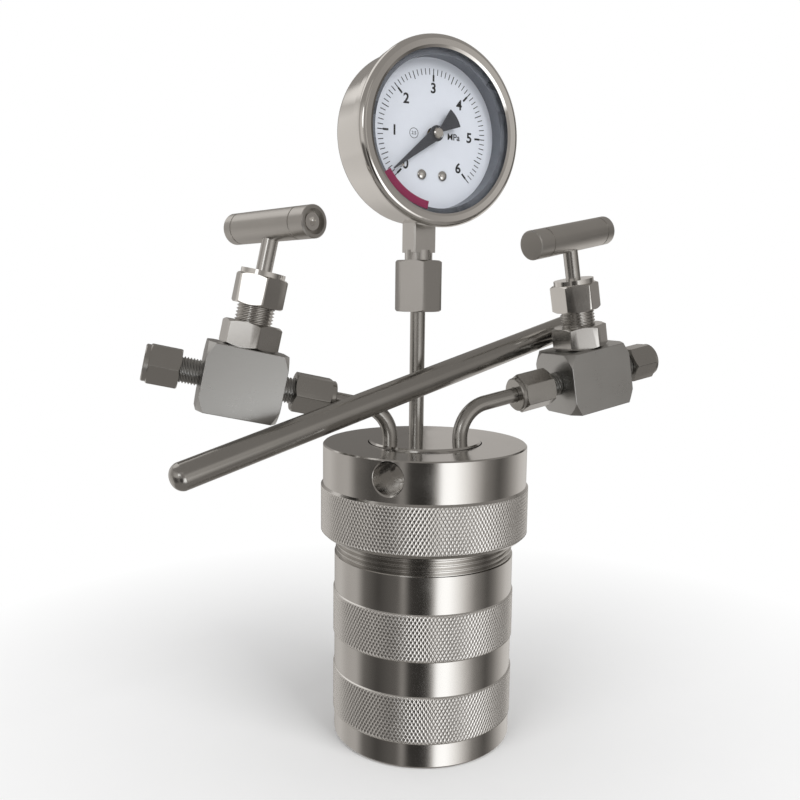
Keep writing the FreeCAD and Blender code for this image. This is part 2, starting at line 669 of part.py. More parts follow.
def ferrule():
    inner = TUBE_R + FIT
    return turned([(inner, FERRULE_FRONT), (FERRULE_NOSE_R, FERRULE_FRONT),
                   (FERRULE_R - FERRULE_BEVEL, NIPPLE_END), (FERRULE_R, NIPPLE_END + FERRULE_BEVEL),
                   (FERRULE_R, NUT_SEAT), (inner, NUT_SEAT)])


def valve_pieces(side):
    outwards = around_x
    pieces = {
        "block": valve_block(),
        "bonnet": bonnet(side["bonnet_clock"]),
        "packing": packing(),
        "gland": gland(),
        "gland_nut": gland_nut(side["gland_clock"]),
        "needle": needle(),
        "stem": stem(),
        "handle": handle(side),
        "handle_screw": handle_screw(side),
        "outer_nut": outwards(tube_nut(side["outer_clock"], NUT_LOW)),
        "outer_ferrule": outwards(ferrule()),
    }
    inwards = turn(vector(0, 0, 1), 180)
    inner_nut = tube_nut(side["inner_clock"], INNER_NUT_LOW)
    pieces["inner_nut"] = placed(outwards(inner_nut), inwards)
    pieces["inner_ferrule"] = placed(outwards(ferrule()), inwards)
    return pieces


# ---------------------------------------------------------------- gauge, in the dial's own frame

def gauge_placement():
    """Frame of the gauge: x to the dial's right, y up, z out of the dial."""
    port = polar(PORT_CIRCLE_R, GAUGE_PORT_BEARING)
    rotation = FreeCAD.Rotation(vector(0, 0, 1), GAUGE_BEARING + 90).multiply(
        FreeCAD.Rotation(vector(1, 0, 0), 90))
    return FreeCAD.Placement(vector(port.x, port.y, GAUGE_HEIGHT), rotation)


def upright(shape):
    """Turns a shape built on world Z, with the gauge tube's axis as its axis, into the frame."""
    return placed(shape, turn(vector(1, 0, 0), -90))


def coupling_nut():
    nut = hexagon(COUPLING_HEX, COUPLING_LOW, COUPLING_HIGH, COUPLING_CLOCK)
    nut = nut.cut(cylinder(TUBE_R + NUT_CLEARANCE, COUPLING_LOW - 1, COLLAR_LOW + 1))
    nut = nut.cut(cylinder(SPIGOT_R + NUT_CLEARANCE, COLLAR_LOW, COUPLING_HIGH + 1))
    return placed(nut, FreeCAD.Placement(polar(PORT_CIRCLE_R, GAUGE_PORT_BEARING),
                                         FreeCAD.Rotation()))


def seal_washer():
    washer = ring(TUBE_COLLAR_R, TUBE_R - TUBE_WALL, SEAL_LOW, SPIGOT_LOW_END)
    return placed(washer, FreeCAD.Placement(polar(PORT_CIRCLE_R, GAUGE_PORT_BEARING),
                                            FreeCAD.Rotation()))


def gauge_socket():
    """Square socket with a round spigot below, drilled up to the spring tube."""
    half = SOCKET_SIDE / 2
    low = SOCKET_LOW - GAUGE_HEIGHT
    spigot = upright(cylinder(SPIGOT_R, SPIGOT_LOW_END - GAUGE_HEIGHT, low + 1))
    block = box((-half, low, -half), (half, -SOCKET_TOP, half))
    edges = [edge for edge in block.Edges
             if abs(edge.Vertexes[0].Y - edge.Vertexes[1].Y) > SOCKET_SIDE]
    shape = block.makeChamfer(SOCKET_EDGE, edges).fuse(spigot)
    bore = upright(cylinder(SOCKET_BORE_R, SPIGOT_LOW_END - GAUGE_HEIGHT - 1,
                            -SOCKET_TOP - half))
    return shape.cut(bore)


def gauge_case():
    """Cup turned from sheet, with a square hole for the socket."""
    inner = CASE_R - CASE_WALL
    edge = CASE_BACK_ROUND
    side = edge * (1 - math.sqrt(0.5))
    inner_edge = edge - CASE_WALL
    inner_side = inner_edge * (1 - math.sqrt(0.5))
    floor = CASE_BACK + CASE_WALL
    case = turned([(0, CASE_BACK), (CASE_R - edge, CASE_BACK),
                   ((CASE_R - side, CASE_BACK + side), (CASE_R, CASE_BACK + edge)),
                   (CASE_R, CASE_FRONT), (inner, CASE_FRONT), (inner, floor + inner_edge),
                   ((inner - inner_side, floor + inner_side), (inner - inner_edge, floor)),
                   (0, floor)])
    hole = SOCKET_SIDE / 2 + SOCKET_CLEARANCE
    return case.cut(box((-hole, -CASE_R - 1, -hole), (hole, -SOCKET_TOP - 1, hole)))


def gauge_bezel():
    """Rolled ring with a skirt over the case and a lip over the glass."""
    skirt_r = CASE_R + BEZEL_CLEARANCE + BEZEL_SKIRT
    seat = CASE_FRONT + WINDOW_THICKNESS
    crest = (BEZEL_R + BEZEL_OPENING_R) / 2 + BEZEL_CREST
    return turned([(CASE_R + BEZEL_CLEARANCE, BEZEL_BACK), (skirt_r, BEZEL_BACK),
                   (skirt_r, BEZEL_LIP - BEZEL_NECK), (BEZEL_R, BEZEL_LIP - BEZEL_BEAD),
                   ((BEZEL_R - BEZEL_ROUND, BEZEL_LIP - FIT), (crest, BEZEL_FRONT)),
                   (BEZEL_OPENING_R + BEZEL_SLOPE, BEZEL_FRONT - BEZEL_DROP),
                   (BEZEL_OPENING_R, BEZEL_LIP), (BEZEL_OPENING_R, seat),
                   (CASE_R + BEZEL_CLEARANCE, seat)])


def gauge_window():
    return cylinder(CASE_R - BEZEL_CLEARANCE, CASE_FRONT, CASE_FRONT + WINDOW_THICKNESS)


def window_ring():
    return ring(CASE_R - CASE_WALL - BEZEL_CLEARANCE, WINDOW_RING_R, DIAL_FRONT, CASE_FRONT)


def screw_points():
    return [(-DIAL_SCREW_X, DIAL_SCREW_Y), (DIAL_SCREW_X, DIAL_SCREW_Y)]


def gauge_dial():
    radius = CASE_R - CASE_WALL - BEZEL_CLEARANCE
    dial = ring(radius, DIAL_HOLE_R, DIAL_FRONT - DIAL_THICKNESS, DIAL_FRONT)
    for x, y in screw_points():
        dial = dial.cut(cylinder(DIAL_SCREW_SHANK_R + FIT, 0, DIAL_FRONT + 1, x, y))
    pin = pin_point()
    return dial.cut(cylinder(PIN_R + PRESS_FIT, 0, DIAL_FRONT + 1, pin.x, pin.y))


def dial_screws():
    """Two round-headed screws, as separate solids."""
    screws = []
    back = DIAL_FRONT - DIAL_THICKNESS - SCREW_REACH
    for x, y in screw_points():
        screw = cylinder(DIAL_SCREW_R, DIAL_FRONT, DIAL_FRONT + DIAL_SCREW_HEAD, x, y)
        slot = DIAL_SLOT_WIDTH / 2
        top = DIAL_FRONT + DIAL_SCREW_HEAD
        screw = screw.cut(box((x - DIAL_SCREW_R, y - slot, top - DIAL_SLOT_DEPTH),
                              (x + DIAL_SCREW_R, y + slot, top + 1)))
        screws.append(screw.fuse(cylinder(DIAL_SCREW_SHANK_R, back, DIAL_FRONT, x, y)))
    return Part.makeCompound(screws)


def pin_point():
    """The stop pin touches the lower edge of the resting pointer."""
    along = PIN_CIRCLE_R / POINTER_LENGTH
    half_width = POINTER_ROOT * (1 - along) + POINTER_TIP * along
    offset = math.degrees((half_width + PIN_R + FIT) / PIN_CIRCLE_R)
    return polar(PIN_CIRCLE_R, ZERO_ANGLE + offset)


def stop_pin():
    pin = pin_point()
    return cylinder(PIN_R, DIAL_FRONT - DIAL_THICKNESS, PIN_FRONT, pin.x, pin.y)


def pointer():
    """Flat needle with a tapered tip and a fan-shaped tail, turned to its resting place."""
    low = POINTER_BACK
    high = POINTER_BACK + POINTER_THICKNESS
    tip = prism([(0, -POINTER_ROOT), (POINTER_LENGTH, -POINTER_TIP),
                 (POINTER_LENGTH, POINTER_TIP), (0, POINTER_ROOT)], low, high)
    tail = wedge(POINTER_TAIL, 180, POINTER_TAIL_SPREAD, low, high)
    shape = tip.fuse([tail, cylinder(POINTER_EYE_R, low, high)])
    shape = shape.cut(cylinder(HUB_R - HUB_NECK + FIT, low - 1, high + 1))
    return placed(shape, turn(vector(0, 0, 1), ZERO_ANGLE))


def pointer_hub():
    """Stepped bush: the pointer sits on its shoulder, and the shaft is pressed into it."""
    high = POINTER_BACK + POINTER_THICKNESS
    neck = HUB_R - HUB_NECK
    hub = turned([(0, HUB_BACK), (HUB_R, HUB_BACK), (HUB_R, POINTER_BACK), (neck, POINTER_BACK),
                  (neck, high), (HUB_R, high), (HUB_R, HUB_FRONT - HUB_EDGE),
                  (HUB_R - HUB_EDGE, HUB_FRONT), (0, HUB_FRONT)])
    return hub.cut(cylinder(SHAFT_R + PRESS_FIT, HUB_BACK - 1, HUB_FRONT - HUB_CAP))


def pinion_shaft():
    shaft = cylinder(SHAFT_R, SHAFT_BACK, HUB_FRONT - HUB_CAP - SHAFT_END_GAP)
    return shaft.fuse(cylinder(PINION_R, SECTOR_BACK - PINION_SPARE,
                               SECTOR_BACK + SECTOR_THICKNESS + PINION_SPARE))


def movement_frame():
    """Two plates on posts and a foot on the socket, with bosses that carry the dial."""
    half = FRAME_HALF_WIDTH
    bottom = -SOCKET_TOP
    front = FRAME_BACK + FRAME_PLATE + FRAME_GAP
    shape = box((-half, bottom, FRAME_BACK), (half, FRAME_TOP, FRAME_BACK + FRAME_PLATE))
    pieces = [
        box((-half, bottom, front), (half, FRAME_TOP, front + FRAME_PLATE)),
        box((-half, bottom, FRAME_BACK), (half, bottom + FRAME_FOOT, front + FRAME_PLATE)),
    ]
    inset = 2 * FRAME_POST_R
    for x in (-half + inset, half - inset):
        pieces.append(cylinder(FRAME_POST_R, FRAME_BACK, front + FRAME_RIVET, x, FRAME_TOP - inset))
    dial_back = DIAL_FRONT - DIAL_THICKNESS
    for x, y in screw_points():
        pieces.append(cylinder(BOSS_SCREW_R, front, dial_back, x, y))
    shape = shape.fuse(pieces)
    for x, y in screw_points():
        shape = shape.cut(cylinder(DIAL_SCREW_SHANK_R + FIT, dial_back - SCREW_REACH - FIT,
                                   dial_back + 1, x, y))
    above = front + FRAME_PLATE + 1
    shape = shape.cut(cylinder(SHAFT_R + FIT, FRAME_BACK - 1, above))
    return shape.cut(cylinder(ARBOR_R + FIT, FRAME_BACK - 1, above, 0, SECTOR_PIVOT))


def sector_gear():
    """Toothed sector on its arbor, shown with a plain rim, and a tail for the link."""
    low = SECTOR_BACK
    high = SECTOR_BACK + SECTOR_THICKNESS
    fan = wedge(SECTOR_R, 90 - SECTOR_TURN / 2, SECTOR_TURN + 2 * SECTOR_SPARE, low, high)
    tail = box((0, -SECTOR_TAIL_WIDTH / 2, low), (SECTOR_TAIL, SECTOR_TAIL_WIDTH / 2, high))
    arbor = cylinder(ARBOR_R, FRAME_BACK, FRAME_BACK + 2 * FRAME_PLATE + FRAME_GAP)
    shape = fan.fuse([tail, arbor, cylinder(SECTOR_HUB_R, low, high)])
    return placed(shape, FreeCAD.Placement(vector(0, SECTOR_PIVOT, 0), FreeCAD.Rotation()))


def bourdon_tube():
    """Flattened spring tube bent into a C, from the socket's side round to a plugged tip."""
    inner = BOURDON_R - BOURDON_RADIAL / 2
    outer = BOURDON_R + BOURDON_RADIAL / 2
    front = BOURDON_BACK + BOURDON_DEPTH
    wall = BOURDON_WALL
    root = 270 - math.degrees(math.asin((SOCKET_SIDE / 2 + SOCKET_CLEARANCE) / inner))
    angle = root - BOURDON_END
    band = turned([(inner, BOURDON_BACK), (outer, BOURDON_BACK), (outer, front),
                   (inner, front)], angle)
    hollow = turned([(inner + wall, BOURDON_BACK + wall), (outer - wall, BOURDON_BACK + wall),
                     (outer - wall, front - wall), (inner + wall, front - wall)], angle)
    plug = box((inner - BOURDON_PLUG_WALL, -BOURDON_PLUG, BOURDON_BACK),
               (outer + BOURDON_PLUG_WALL, 0, front))
    return placed(band.cut(hollow).fuse(plug), turn(vector(0, 0, 1), BOURDON_END))


def tip_link():
    """Flat link from the spring tube's plug towards the sector's tail."""
    low = SECTOR_BACK - LINK_THICKNESS - MESH_CLEARANCE
    high = low + LINK_THICKNESS
    start = polar(BOURDON_R, BOURDON_END) - polar(BOURDON_PLUG / 2, BOURDON_END + 90)
    end = vector(SECTOR_TAIL, SECTOR_PIVOT, 0)
    run = end - start
    bar = box((-LINK_WIDTH / 2, -LINK_WIDTH / 2, low), (run.Length, LINK_WIDTH / 2, high))
    stud = cylinder(LINK_WIDTH / 2, BOURDON_BACK + BOURDON_DEPTH, high)
    bearing = math.degrees(math.atan2(run.y, run.x))
    rotation = FreeCAD.Rotation(vector(0, 0, 1), bearing)
    return placed(bar.fuse(stud), FreeCAD.Placement(start, rotation))


def gauge_pieces():
    return {
        "gauge_socket": gauge_socket(),
        "gauge_case": gauge_case(),
        "gauge_bezel": gauge_bezel(),
        "gauge_window": gauge_window(),
        "window_ring": window_ring(),
        "gauge_dial": gauge_dial(),
        "dial_screws": dial_screws(),
        "stop_pin": stop_pin(),
        "pointer": pointer(),
        "pointer_hub": pointer_hub(),
        "pinion_shaft": pinion_shaft(),
        "movement_frame": movement_frame(),
        "sector_gear": sector_gear(),
        "bourdon_tube": bourdon_tube(),
        "tip_link": tip_link(),
    }


# ---------------------------------------------------------------- tommy bar

def tommy_bar():
    """Round bar with a rounded nose. It crosses the left tube in front and above, and lies
    behind the right bonnet, over the block."""
    reach = TUBE_R + BAR_R + BAR_TUBE_GAP
    tilt = math.radians(BAR_LEFT_TILT)
    left = valve_placement(SIDES["left"]).multVec(
        vector(-BAR_LEFT_ALONG, reach * math.cos(tilt), reach * math.sin(tilt)))
    behind = BONNET_HEX / math.sqrt(3) + BAR_R + BAR_BONNET_GAP
    above = BLOCK_HALF + BAR_R + BAR_BLOCK_GAP
    right = valve_placement(SIDES["right"]).multVec(vector(-BAR_RIGHT_ALONG, behind, above))
    way = (right - left).normalize()
    nose = left - way * BAR_OVERHANG
    halfway = (BAR_R * math.sqrt(0.5), BAR_NOSE * (1 - math.sqrt(0.5)))
    bar = turned([(0, 0), (halfway, (BAR_R, BAR_NOSE)),
                  (BAR_R, BAR_LENGTH - BAR_EDGE), (BAR_R - BAR_EDGE, BAR_LENGTH),
                  (0, BAR_LENGTH)])
    return placed(bar, FreeCAD.Placement(nose, FreeCAD.Rotation(vector(0, 0, 1), way)))


# ---------------------------------------------------------------- every piece, by node name

def all_pieces():
    pieces = {
        "kettle_body": kettle_body(),
        "ptfe_liner": ptfe_liner(),
        "ptfe_cover": ptfe_cover(),
        "steel_lid": steel_lid(),
        "slip_washer": slip_washer(),
        "screw_cap": screw_cap(),
        "tommy_bar": tommy_bar(),
        "gauge_tube": gauge_tube(),
        "gauge_nut": coupling_nut(),
        "gauge_washer": seal_washer(),
    }
    for name, side in SIDES.items():
        pieces[name + "_tube"] = side_tube(side)
        frame = valve_placement(side)
        for piece, shape in valve_pieces(side).items():
            pieces[name + "_" + piece] = placed(shape, frame)
    frame = gauge_placement()
    for piece, shape in gauge_pieces().items():
        pieces[piece] = placed(shape, frame)
    return pieces


os.makedirs("parts", exist_ok=True)
for node, solid in all_pieces().items():
    solid.exportStep("parts/" + node + ".step")
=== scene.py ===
import json
import math

import bmesh
import bpy
from bpy.props import FloatProperty, FloatVectorProperty, IntProperty, PointerProperty
from mathutils import Matrix, Vector


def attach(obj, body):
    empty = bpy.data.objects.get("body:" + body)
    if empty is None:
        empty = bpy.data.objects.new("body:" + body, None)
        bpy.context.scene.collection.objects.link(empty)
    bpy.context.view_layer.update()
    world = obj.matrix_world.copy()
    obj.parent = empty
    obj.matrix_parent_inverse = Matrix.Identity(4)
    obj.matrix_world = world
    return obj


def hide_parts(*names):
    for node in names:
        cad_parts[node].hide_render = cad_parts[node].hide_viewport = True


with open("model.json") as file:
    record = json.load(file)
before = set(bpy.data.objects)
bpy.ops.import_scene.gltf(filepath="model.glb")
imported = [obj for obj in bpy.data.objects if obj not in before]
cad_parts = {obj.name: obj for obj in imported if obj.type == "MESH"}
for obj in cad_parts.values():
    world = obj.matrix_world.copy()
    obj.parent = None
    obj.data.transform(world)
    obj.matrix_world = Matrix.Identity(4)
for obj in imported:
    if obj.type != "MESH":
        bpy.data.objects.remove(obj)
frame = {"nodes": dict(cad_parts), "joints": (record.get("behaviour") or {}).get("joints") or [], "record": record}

bl_info = {
    "name": "Hydrothermal reactor finish",
    "version": (1, 0, 0),
    "blender": (4, 5, 0),
    "location": "3D View > Sidebar > Reactor",
    "description": "Knurling, threads, dial markings and metal finishes for a hydrothermal reactor",
    "category": "Object",
}

NODES = frame["nodes"]
JOINTS = {joint["name"]: joint for joint in frame["joints"]}
MOUNTS = {mount["name"]: mount for mount in frame["record"]["mounts"]}
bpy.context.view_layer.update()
SIDES = ("left", "right")
FINISHES = {}
MM = 0.001
UPRIGHT = Matrix.Identity(4)

# Sizes in millimetres that the knurling, threads and dial share with the solids.
BODY_R = 35.4
BODY_BANDS = ((9.7, 28.3), (41.4, 59.7))
BAND_PROUD = 0.45
BAND_EDGE = 0.4
THREAD_R = 34.95
THREAD_LOW = 73.8
THREAD_HIGH = 88.6
THREAD_PITCH = 2.0
CAP_KNURL_R = 40.8
CAP_KNURL = (83.3, 101.0)
NECK_R = 7.0
NECK = (21.9, 34.0)
NECK_PITCH = 1.25
NECK_THREAD_DEPTH = 0.65
NIPPLE_R = 4.9
NIPPLE = (14.75, 26.0)
NIPPLE_PITCH = 1.1
NIPPLE_THREAD_DEPTH = 0.55
NUT_EDGE = 0.25
BLOCK_EDGE = 0.35
DIAL_FACE = 9.04
MARK_HEIGHT = 0.05

# Steps of a full turn.
KETTLE_STEPS = 144
NECK_STEPS = 48
NIPPLE_STEPS = 40
KNURL_STEPS = 192

# Profile of a thread: where its flanks and crest end, in shares of the pitch, how far its foot
# is sunk into the core, and the turns it runs past its last whole one.
CREST_FROM = 0.36
CREST_TO = 0.5
FOOT_TO = 0.85
FOOT_SUNK = 0.05
RUN_OUT = 0.15

# Tolerances in millimetres, degrees where that is said.
MERGE = 0.001
SLACK = 0.02
WALL_LEAN = 0.3             # largest part of a round wall's normal along its axis
SHORTEST_WALL = 0.5
SHORTEST_EDGE = 3
EDGE_ANGLES = (40, 100)     # degrees between the flats that meet in an eased edge
SAME_FLAT = 0.5             # degrees
SHARP = 30                  # degrees
SHARP_EASED = 18            # degrees


class ReactorSizes(bpy.types.PropertyGroup):
    knurl_width: FloatProperty(
        name="Knurl width", description="Width of one diamond round the band, in millimetres",
        default=1.5, min=0.8, max=4.0)
    knurl_height: FloatProperty(
        name="Knurl height", description="Height of one diamond, in millimetres",
        default=2.55, min=0.8, max=6.0)
    knurl_depth: FloatProperty(
        name="Knurl depth", description="Depth of the grooves, in millimetres",
        default=0.19, min=0.1, max=0.45)
    knurl_slope: FloatProperty(
        name="Knurl slope", description="Width of each groove's sloped side, in millimetres",
        default=0.38, min=0.1, max=0.42)
    thread_depth: FloatProperty(
        name="Thread depth", description="Depth of the kettle's thread, in millimetres",
        default=1.05, min=0.3, max=1.5)
    numeral_height: FloatProperty(
        name="Numeral height", description="Height of the dial's numbers, in millimetres",
        default=5.2, min=2.0, max=8.0)
    full_scale: IntProperty(
        name="Full scale", description="The last number on the dial", default=6, min=1, max=20)


class ReactorFinish(bpy.types.PropertyGroup):
    steel: FloatVectorProperty(
        name="Steel", description="Colour of the turned steel", subtype="COLOR",
        default=(0.60, 0.588, 0.568), min=0.0, max=1.0)
    polished: FloatVectorProperty(
        name="Polished steel", description="Colour of the polished gauge case", subtype="COLOR",
        default=(0.78, 0.765, 0.74), min=0.0, max=1.0)
    ground: FloatVectorProperty(
        name="Ground steel", description="Colour of the ground valve blocks", subtype="COLOR",
        default=(0.47, 0.47, 0.46), min=0.0, max=1.0)
    tube: FloatVectorProperty(
        name="Tube steel", description="Colour of the tubes, their nuts and the bar",
        subtype="COLOR", default=(0.46, 0.45, 0.43), min=0.0, max=1.0)
    grip: FloatVectorProperty(
        name="Grip steel", description="Colour of the brushed handles", subtype="COLOR",
        default=(0.60, 0.585, 0.56), min=0.0, max=1.0)
    # The knurl's grooves are a lighter steel than the crests: painted sheen, standing in for the light that the
    # knurl's sloped sides catch.
    knurl: FloatVectorProperty(
        name="Knurl", description="Colour of the knurl's grooves", subtype="COLOR",
        default=(0.88, 0.87, 0.85), min=0.0, max=1.0)
    dial: FloatVectorProperty(
        name="Dial", description="Colour of the dial's face", subtype="COLOR",
        default=(0.66, 0.69, 0.75), min=0.0, max=1.0)
    marking: FloatVectorProperty(
        name="Marking", description="Colour of the dial's markings", subtype="COLOR",
        default=(0.012, 0.012, 0.013), min=0.0, max=1.0)
    pointer: FloatVectorProperty(
        name="Pointer", description="Colour of the dial's pointer", subtype="COLOR",
        default=(0.045, 0.047, 0.055), min=0.0, max=1.0)
    steel_roughness: FloatProperty(
        name="Steel roughness", description="Roughness of the turned steel", subtype="FACTOR",
        default=0.14, min=0.02, max=1.0)


# ---------------------------------------------------------------- places

def frame_matrix(origin, x_axis, z_axis):
    """Matrix of a frame from its origin, its X and its Z direction."""
    x = Vector(x_axis).normalized()
    z = Vector(z_axis).normalized()
    y = z.cross(x)
    return Matrix.Translation(origin) @ Matrix((x, y, z)).transposed().to_4x4()


def valve_frame(side):
    """Frame of a valve in millimetres: X outwards along the flow, Z up the stem."""
    stem = Vector(JOINTS[side + "_stem_turn"]["axis"])
    top = Vector(JOINTS[side + "_stem_turn"]["pos_m"])
    outlet = MOUNTS[side + "_outlet"]
    centre = top - stem * (top - Vector(outlet["pos_m"])).dot(stem)
    return frame_matrix(centre / MM, outlet["axis"], stem)


def flow_frame(side):
    """Frame whose Z runs outwards along a valve's flow."""
    return valve_frame(side) @ Matrix.Rotation(math.radians(90), 4, "Y")


def gauge_frame():
    """Frame of the dial in millimetres: X to its right, Y up, Z towards its viewer."""
    joint = JOINTS["pointer_turn"]
    normal = -Vector(joint["axis"])
    return frame_matrix(Vector(joint["pos_m"]) / MM, Vector((0, 0, 1)).cross(normal), normal)


def long_axis_frame(node):
    """Frame on the middle of a straight node, with Z along it, found from its end rings."""
    points = [vert.co.copy() for vert in NODES[node].data.vertices]
    low = min(points, key=lambda point: point.x)
    far = max(points, key=lambda point: (point - low).length)
    near = max(points, key=lambda point: (point - far).length)
    along = (far - near).normalized()
    side = along.orthogonal()
    return frame_matrix((far + near) / 2 / MM, side, along)


# ---------------------------------------------------------------- meshes, in millimetres

def cad_copy(node):
    """Copy of a CAD node's mesh with its points merged."""
    mesh = bmesh.new()
    mesh.from_mesh(NODES[node].data)
    bmesh.ops.scale(mesh, vec=(1 / MM, 1 / MM, 1 / MM), verts=mesh.verts)
    bmesh.ops.remove_doubles(mesh, verts=mesh.verts, dist=MERGE)
    return mesh


def open_round(mesh, place, radius, low, high):
    """Takes away the faces of a round wall, so that a worked surface can take their place."""
    to_local = place.inverted()
    axis = place.to_3x3() @ Vector((0, 0, 1))
    faces = []
    for face in mesh.faces:
        on_wall = abs(face.normal.dot(axis)) < WALL_LEAN
        for vert in face.verts:
            point = to_local @ vert.co
            off = abs(math.hypot(point.x, point.y) - radius)
            if off > SLACK or point.z < low - SLACK or point.z > high + SLACK:
                on_wall = False
        if on_wall:
            faces.append(face)
    if not faces:
        raise RuntimeError(f"no round wall of radius {radius} mm was found")
    bmesh.ops.delete(mesh, geom=faces, context="FACES")


def chain(mesh, points):
    """Line of (radius, height) points joined by edges; returns its geometry."""
    verts = [mesh.verts.new((radius, 0, height)) for radius, height in points]
    edges = [mesh.edges.new(pair) for pair in zip(verts, verts[1:])]
    return verts, edges


def box_section(radii, heights):
    """Closed line round the section of a flat ring."""
    inner, outer = radii
    low, high = heights
    return [(inner, low), (outer, low), (outer, high), (inner, high), (inner, low)]


def spun(points, steps):
    """Surface of revolution round Z from a line of (radius, height) points."""
    mesh = bmesh.new()
    verts, edges = chain(mesh, points)
    bmesh.ops.spin(mesh, geom=verts + edges, cent=(0, 0, 0), axis=(0, 0, 1),
                   angle=math.tau, steps=steps, use_merge=True)
    bmesh.ops.remove_doubles(mesh, verts=mesh.verts, dist=MERGE)
    bmesh.ops.recalc_face_normals(mesh, faces=mesh.faces)
    return mesh


def ridge(crest, depth, low, high, pitch, steps):
    """Helical ridge of a thread, from inside the shoulder at its foot up to its last turn."""
    root = crest - depth
    mesh = bmesh.new()
    start = low - pitch
    turns = (high - low) / pitch + RUN_OUT
    profile = [(root - FOOT_SUNK, start), (crest, start + CREST_FROM * pitch),
               (crest, start + CREST_TO * pitch), (root - FOOT_SUNK, start + FOOT_TO * pitch)]
    verts, edges = chain(mesh, profile)
    count = round(turns * steps)
    result = bmesh.ops.spin(mesh, geom=verts + edges, cent=(0, 0, 0), axis=(0, 0, 1),
                            dvec=(0, 0, turns * pitch / count), angle=turns * math.tau,
                            steps=count, use_merge=False)
    last = [item for item in result["geom_last"] if isinstance(item, bmesh.types.BMVert)]
    bmesh.ops.contextual_create(mesh, geom=verts)
    bmesh.ops.contextual_create(mesh, geom=last)
    bmesh.ops.remove_doubles(mesh, verts=mesh.verts, dist=MERGE)
    bmesh.ops.recalc_face_normals(mesh, faces=mesh.faces)
    return mesh


def join_into(mesh, other, place=UPRIGHT):
    """Adds another mesh to this one, in a frame of its own."""
    bmesh.ops.transform(other, matrix=place, verts=other.verts)
    holder = bpy.data.meshes.new("holder")
    other.to_mesh(holder)
    other.free()
    mesh.from_mesh(holder)
    bpy.data.meshes.remove(holder)


def cut_thread(mesh, place, crest, depth, low, high, pitch, steps):
    """Puts a real thread where the solid has a plain round wall."""
    open_round(mesh, place, crest, low, high)
    channel = spun([(crest, low), (crest - depth, low), (crest - depth, high), (crest, high)],
                   steps)
    join_into(mesh, channel, place)
    join_into(mesh, ridge(crest, depth, low, high, pitch, steps), place)


def ease_edges(mesh, width):
    """Rounds the long straight edges between flats a little."""
    bmesh.ops.dissolve_limit(mesh, angle_limit=math.radians(SAME_FLAT), verts=mesh.verts,
                             edges=mesh.edges)
    least, most = (math.radians(angle) for angle in EDGE_ANGLES)
    flats = [edge for edge in mesh.edges
             if edge.is_manifold and edge.calc_length() > SHORTEST_EDGE
             and least < edge.calc_face_angle() < most and edge.is_convex]
    bmesh.ops.bevel(mesh, geom=flats, offset=width, offset_type="OFFSET", segments=2,
                    profile=0.5, affect="EDGES", clamp_overlap=True, material=-1)


def diamonds(root, low, high, sizes):
    """Band of raised diamonds round Z, between two heights."""
    rows = round((high - low) / sizes.knurl_height)
    around = round(math.tau * root / sizes.knurl_width)
    height = (high - low) / rows / 2
    mesh = bmesh.new()
    points = [(root, low + height * index) for index in range(2 * rows + 1)]
    verts, edges = chain(mesh, points)
    bmesh.ops.spin(mesh, geom=verts + edges, cent=(0, 0, 0), axis=(0, 0, 1),
                   angle=math.tau, steps=2 * around, use_merge=True)
    bmesh.ops.remove_doubles(mesh, verts=mesh.verts, dist=MERGE)
    bmesh.ops.recalc_face_normals(mesh, faces=mesh.faces)

    def is_corner(vert):
        column = round(math.atan2(vert.co.y, vert.co.x) / (math.pi / around))
        return (column + round((vert.co.z - low) / height)) % 2 == 0

    corners = [vert for vert in mesh.verts if is_corner(vert)]
    middles = [vert for vert in mesh.verts if not is_corner(vert)]
    bmesh.ops.connect_verts(mesh, verts=corners)
    bmesh.ops.dissolve_verts(mesh, verts=middles)
    bmesh.ops.inset_individual(mesh, faces=mesh.faces, thickness=sizes.knurl_slope,
                               depth=sizes.knurl_depth, use_even_offset=True)
    return mesh


def cut_knurl(mesh, crest, low, high, sizes):
    """Knurls a plain round band between two heights."""
    open_round(mesh, UPRIGHT, crest, low, high)
    root = crest - sizes.knurl_depth
    join_into(mesh, spun([(crest, low), (root, low)], KNURL_STEPS))
    join_into(mesh, spun([(root, high), (crest, high)], KNURL_STEPS))
    join_into(mesh, diamonds(root, low, high, sizes))


def round_normals(data, place):
    """Gives the walls that are round about Z in a frame their true normals."""
    to_local = place.inverted()
    to_world = place.to_3x3()
    local = [to_local @ (vert.co / MM) for vert in data.vertices]
    normals = [item.vector.copy() for item in data.corner_normals]
    for face in data.polygons:
        points = [local[index] for index in face.vertices]
        radii = [math.hypot(point.x, point.y) for point in points]
        heights = [point.z for point in points]
        if max(radii) - min(radii) > SLACK or max(heights) - min(heights) < SHORTEST_WALL:
            continue
        for corner, point in zip(face.loop_indices, points):
            out = to_world @ Vector((point.x, point.y, 0)).normalized()
            normals[corner] = out if out.dot(face.normal) > 0 else -out
    data.normals_split_custom_set(normals)


def piece_from(mesh, name, body, material, nodes=(), sharp=SHARP, round_about=None):
    """Finishes a mesh as a piece of the reactor, in metres, at the origin."""
    bmesh.ops.scale(mesh, vec=(MM, MM, MM), verts=mesh.verts)
    data = bpy.data.meshes.new(name)
    mesh.to_mesh(data)
    mesh.free()
    if "custom_normal" in data.attributes:
        data.attributes.remove(data.attributes["custom_normal"])
    data.shade_smooth()
    data.set_sharp_from_angle(angle=math.radians(sharp))
    if round_about:
        round_normals(data, round_about)
    data.materials.append(material)
    piece = bpy.data.objects.new(name, data)
    bpy.context.scene.collection.objects.link(piece)
    if nodes:
        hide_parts(*nodes)
    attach(piece, body)


# ---------------------------------------------------------------- shaders

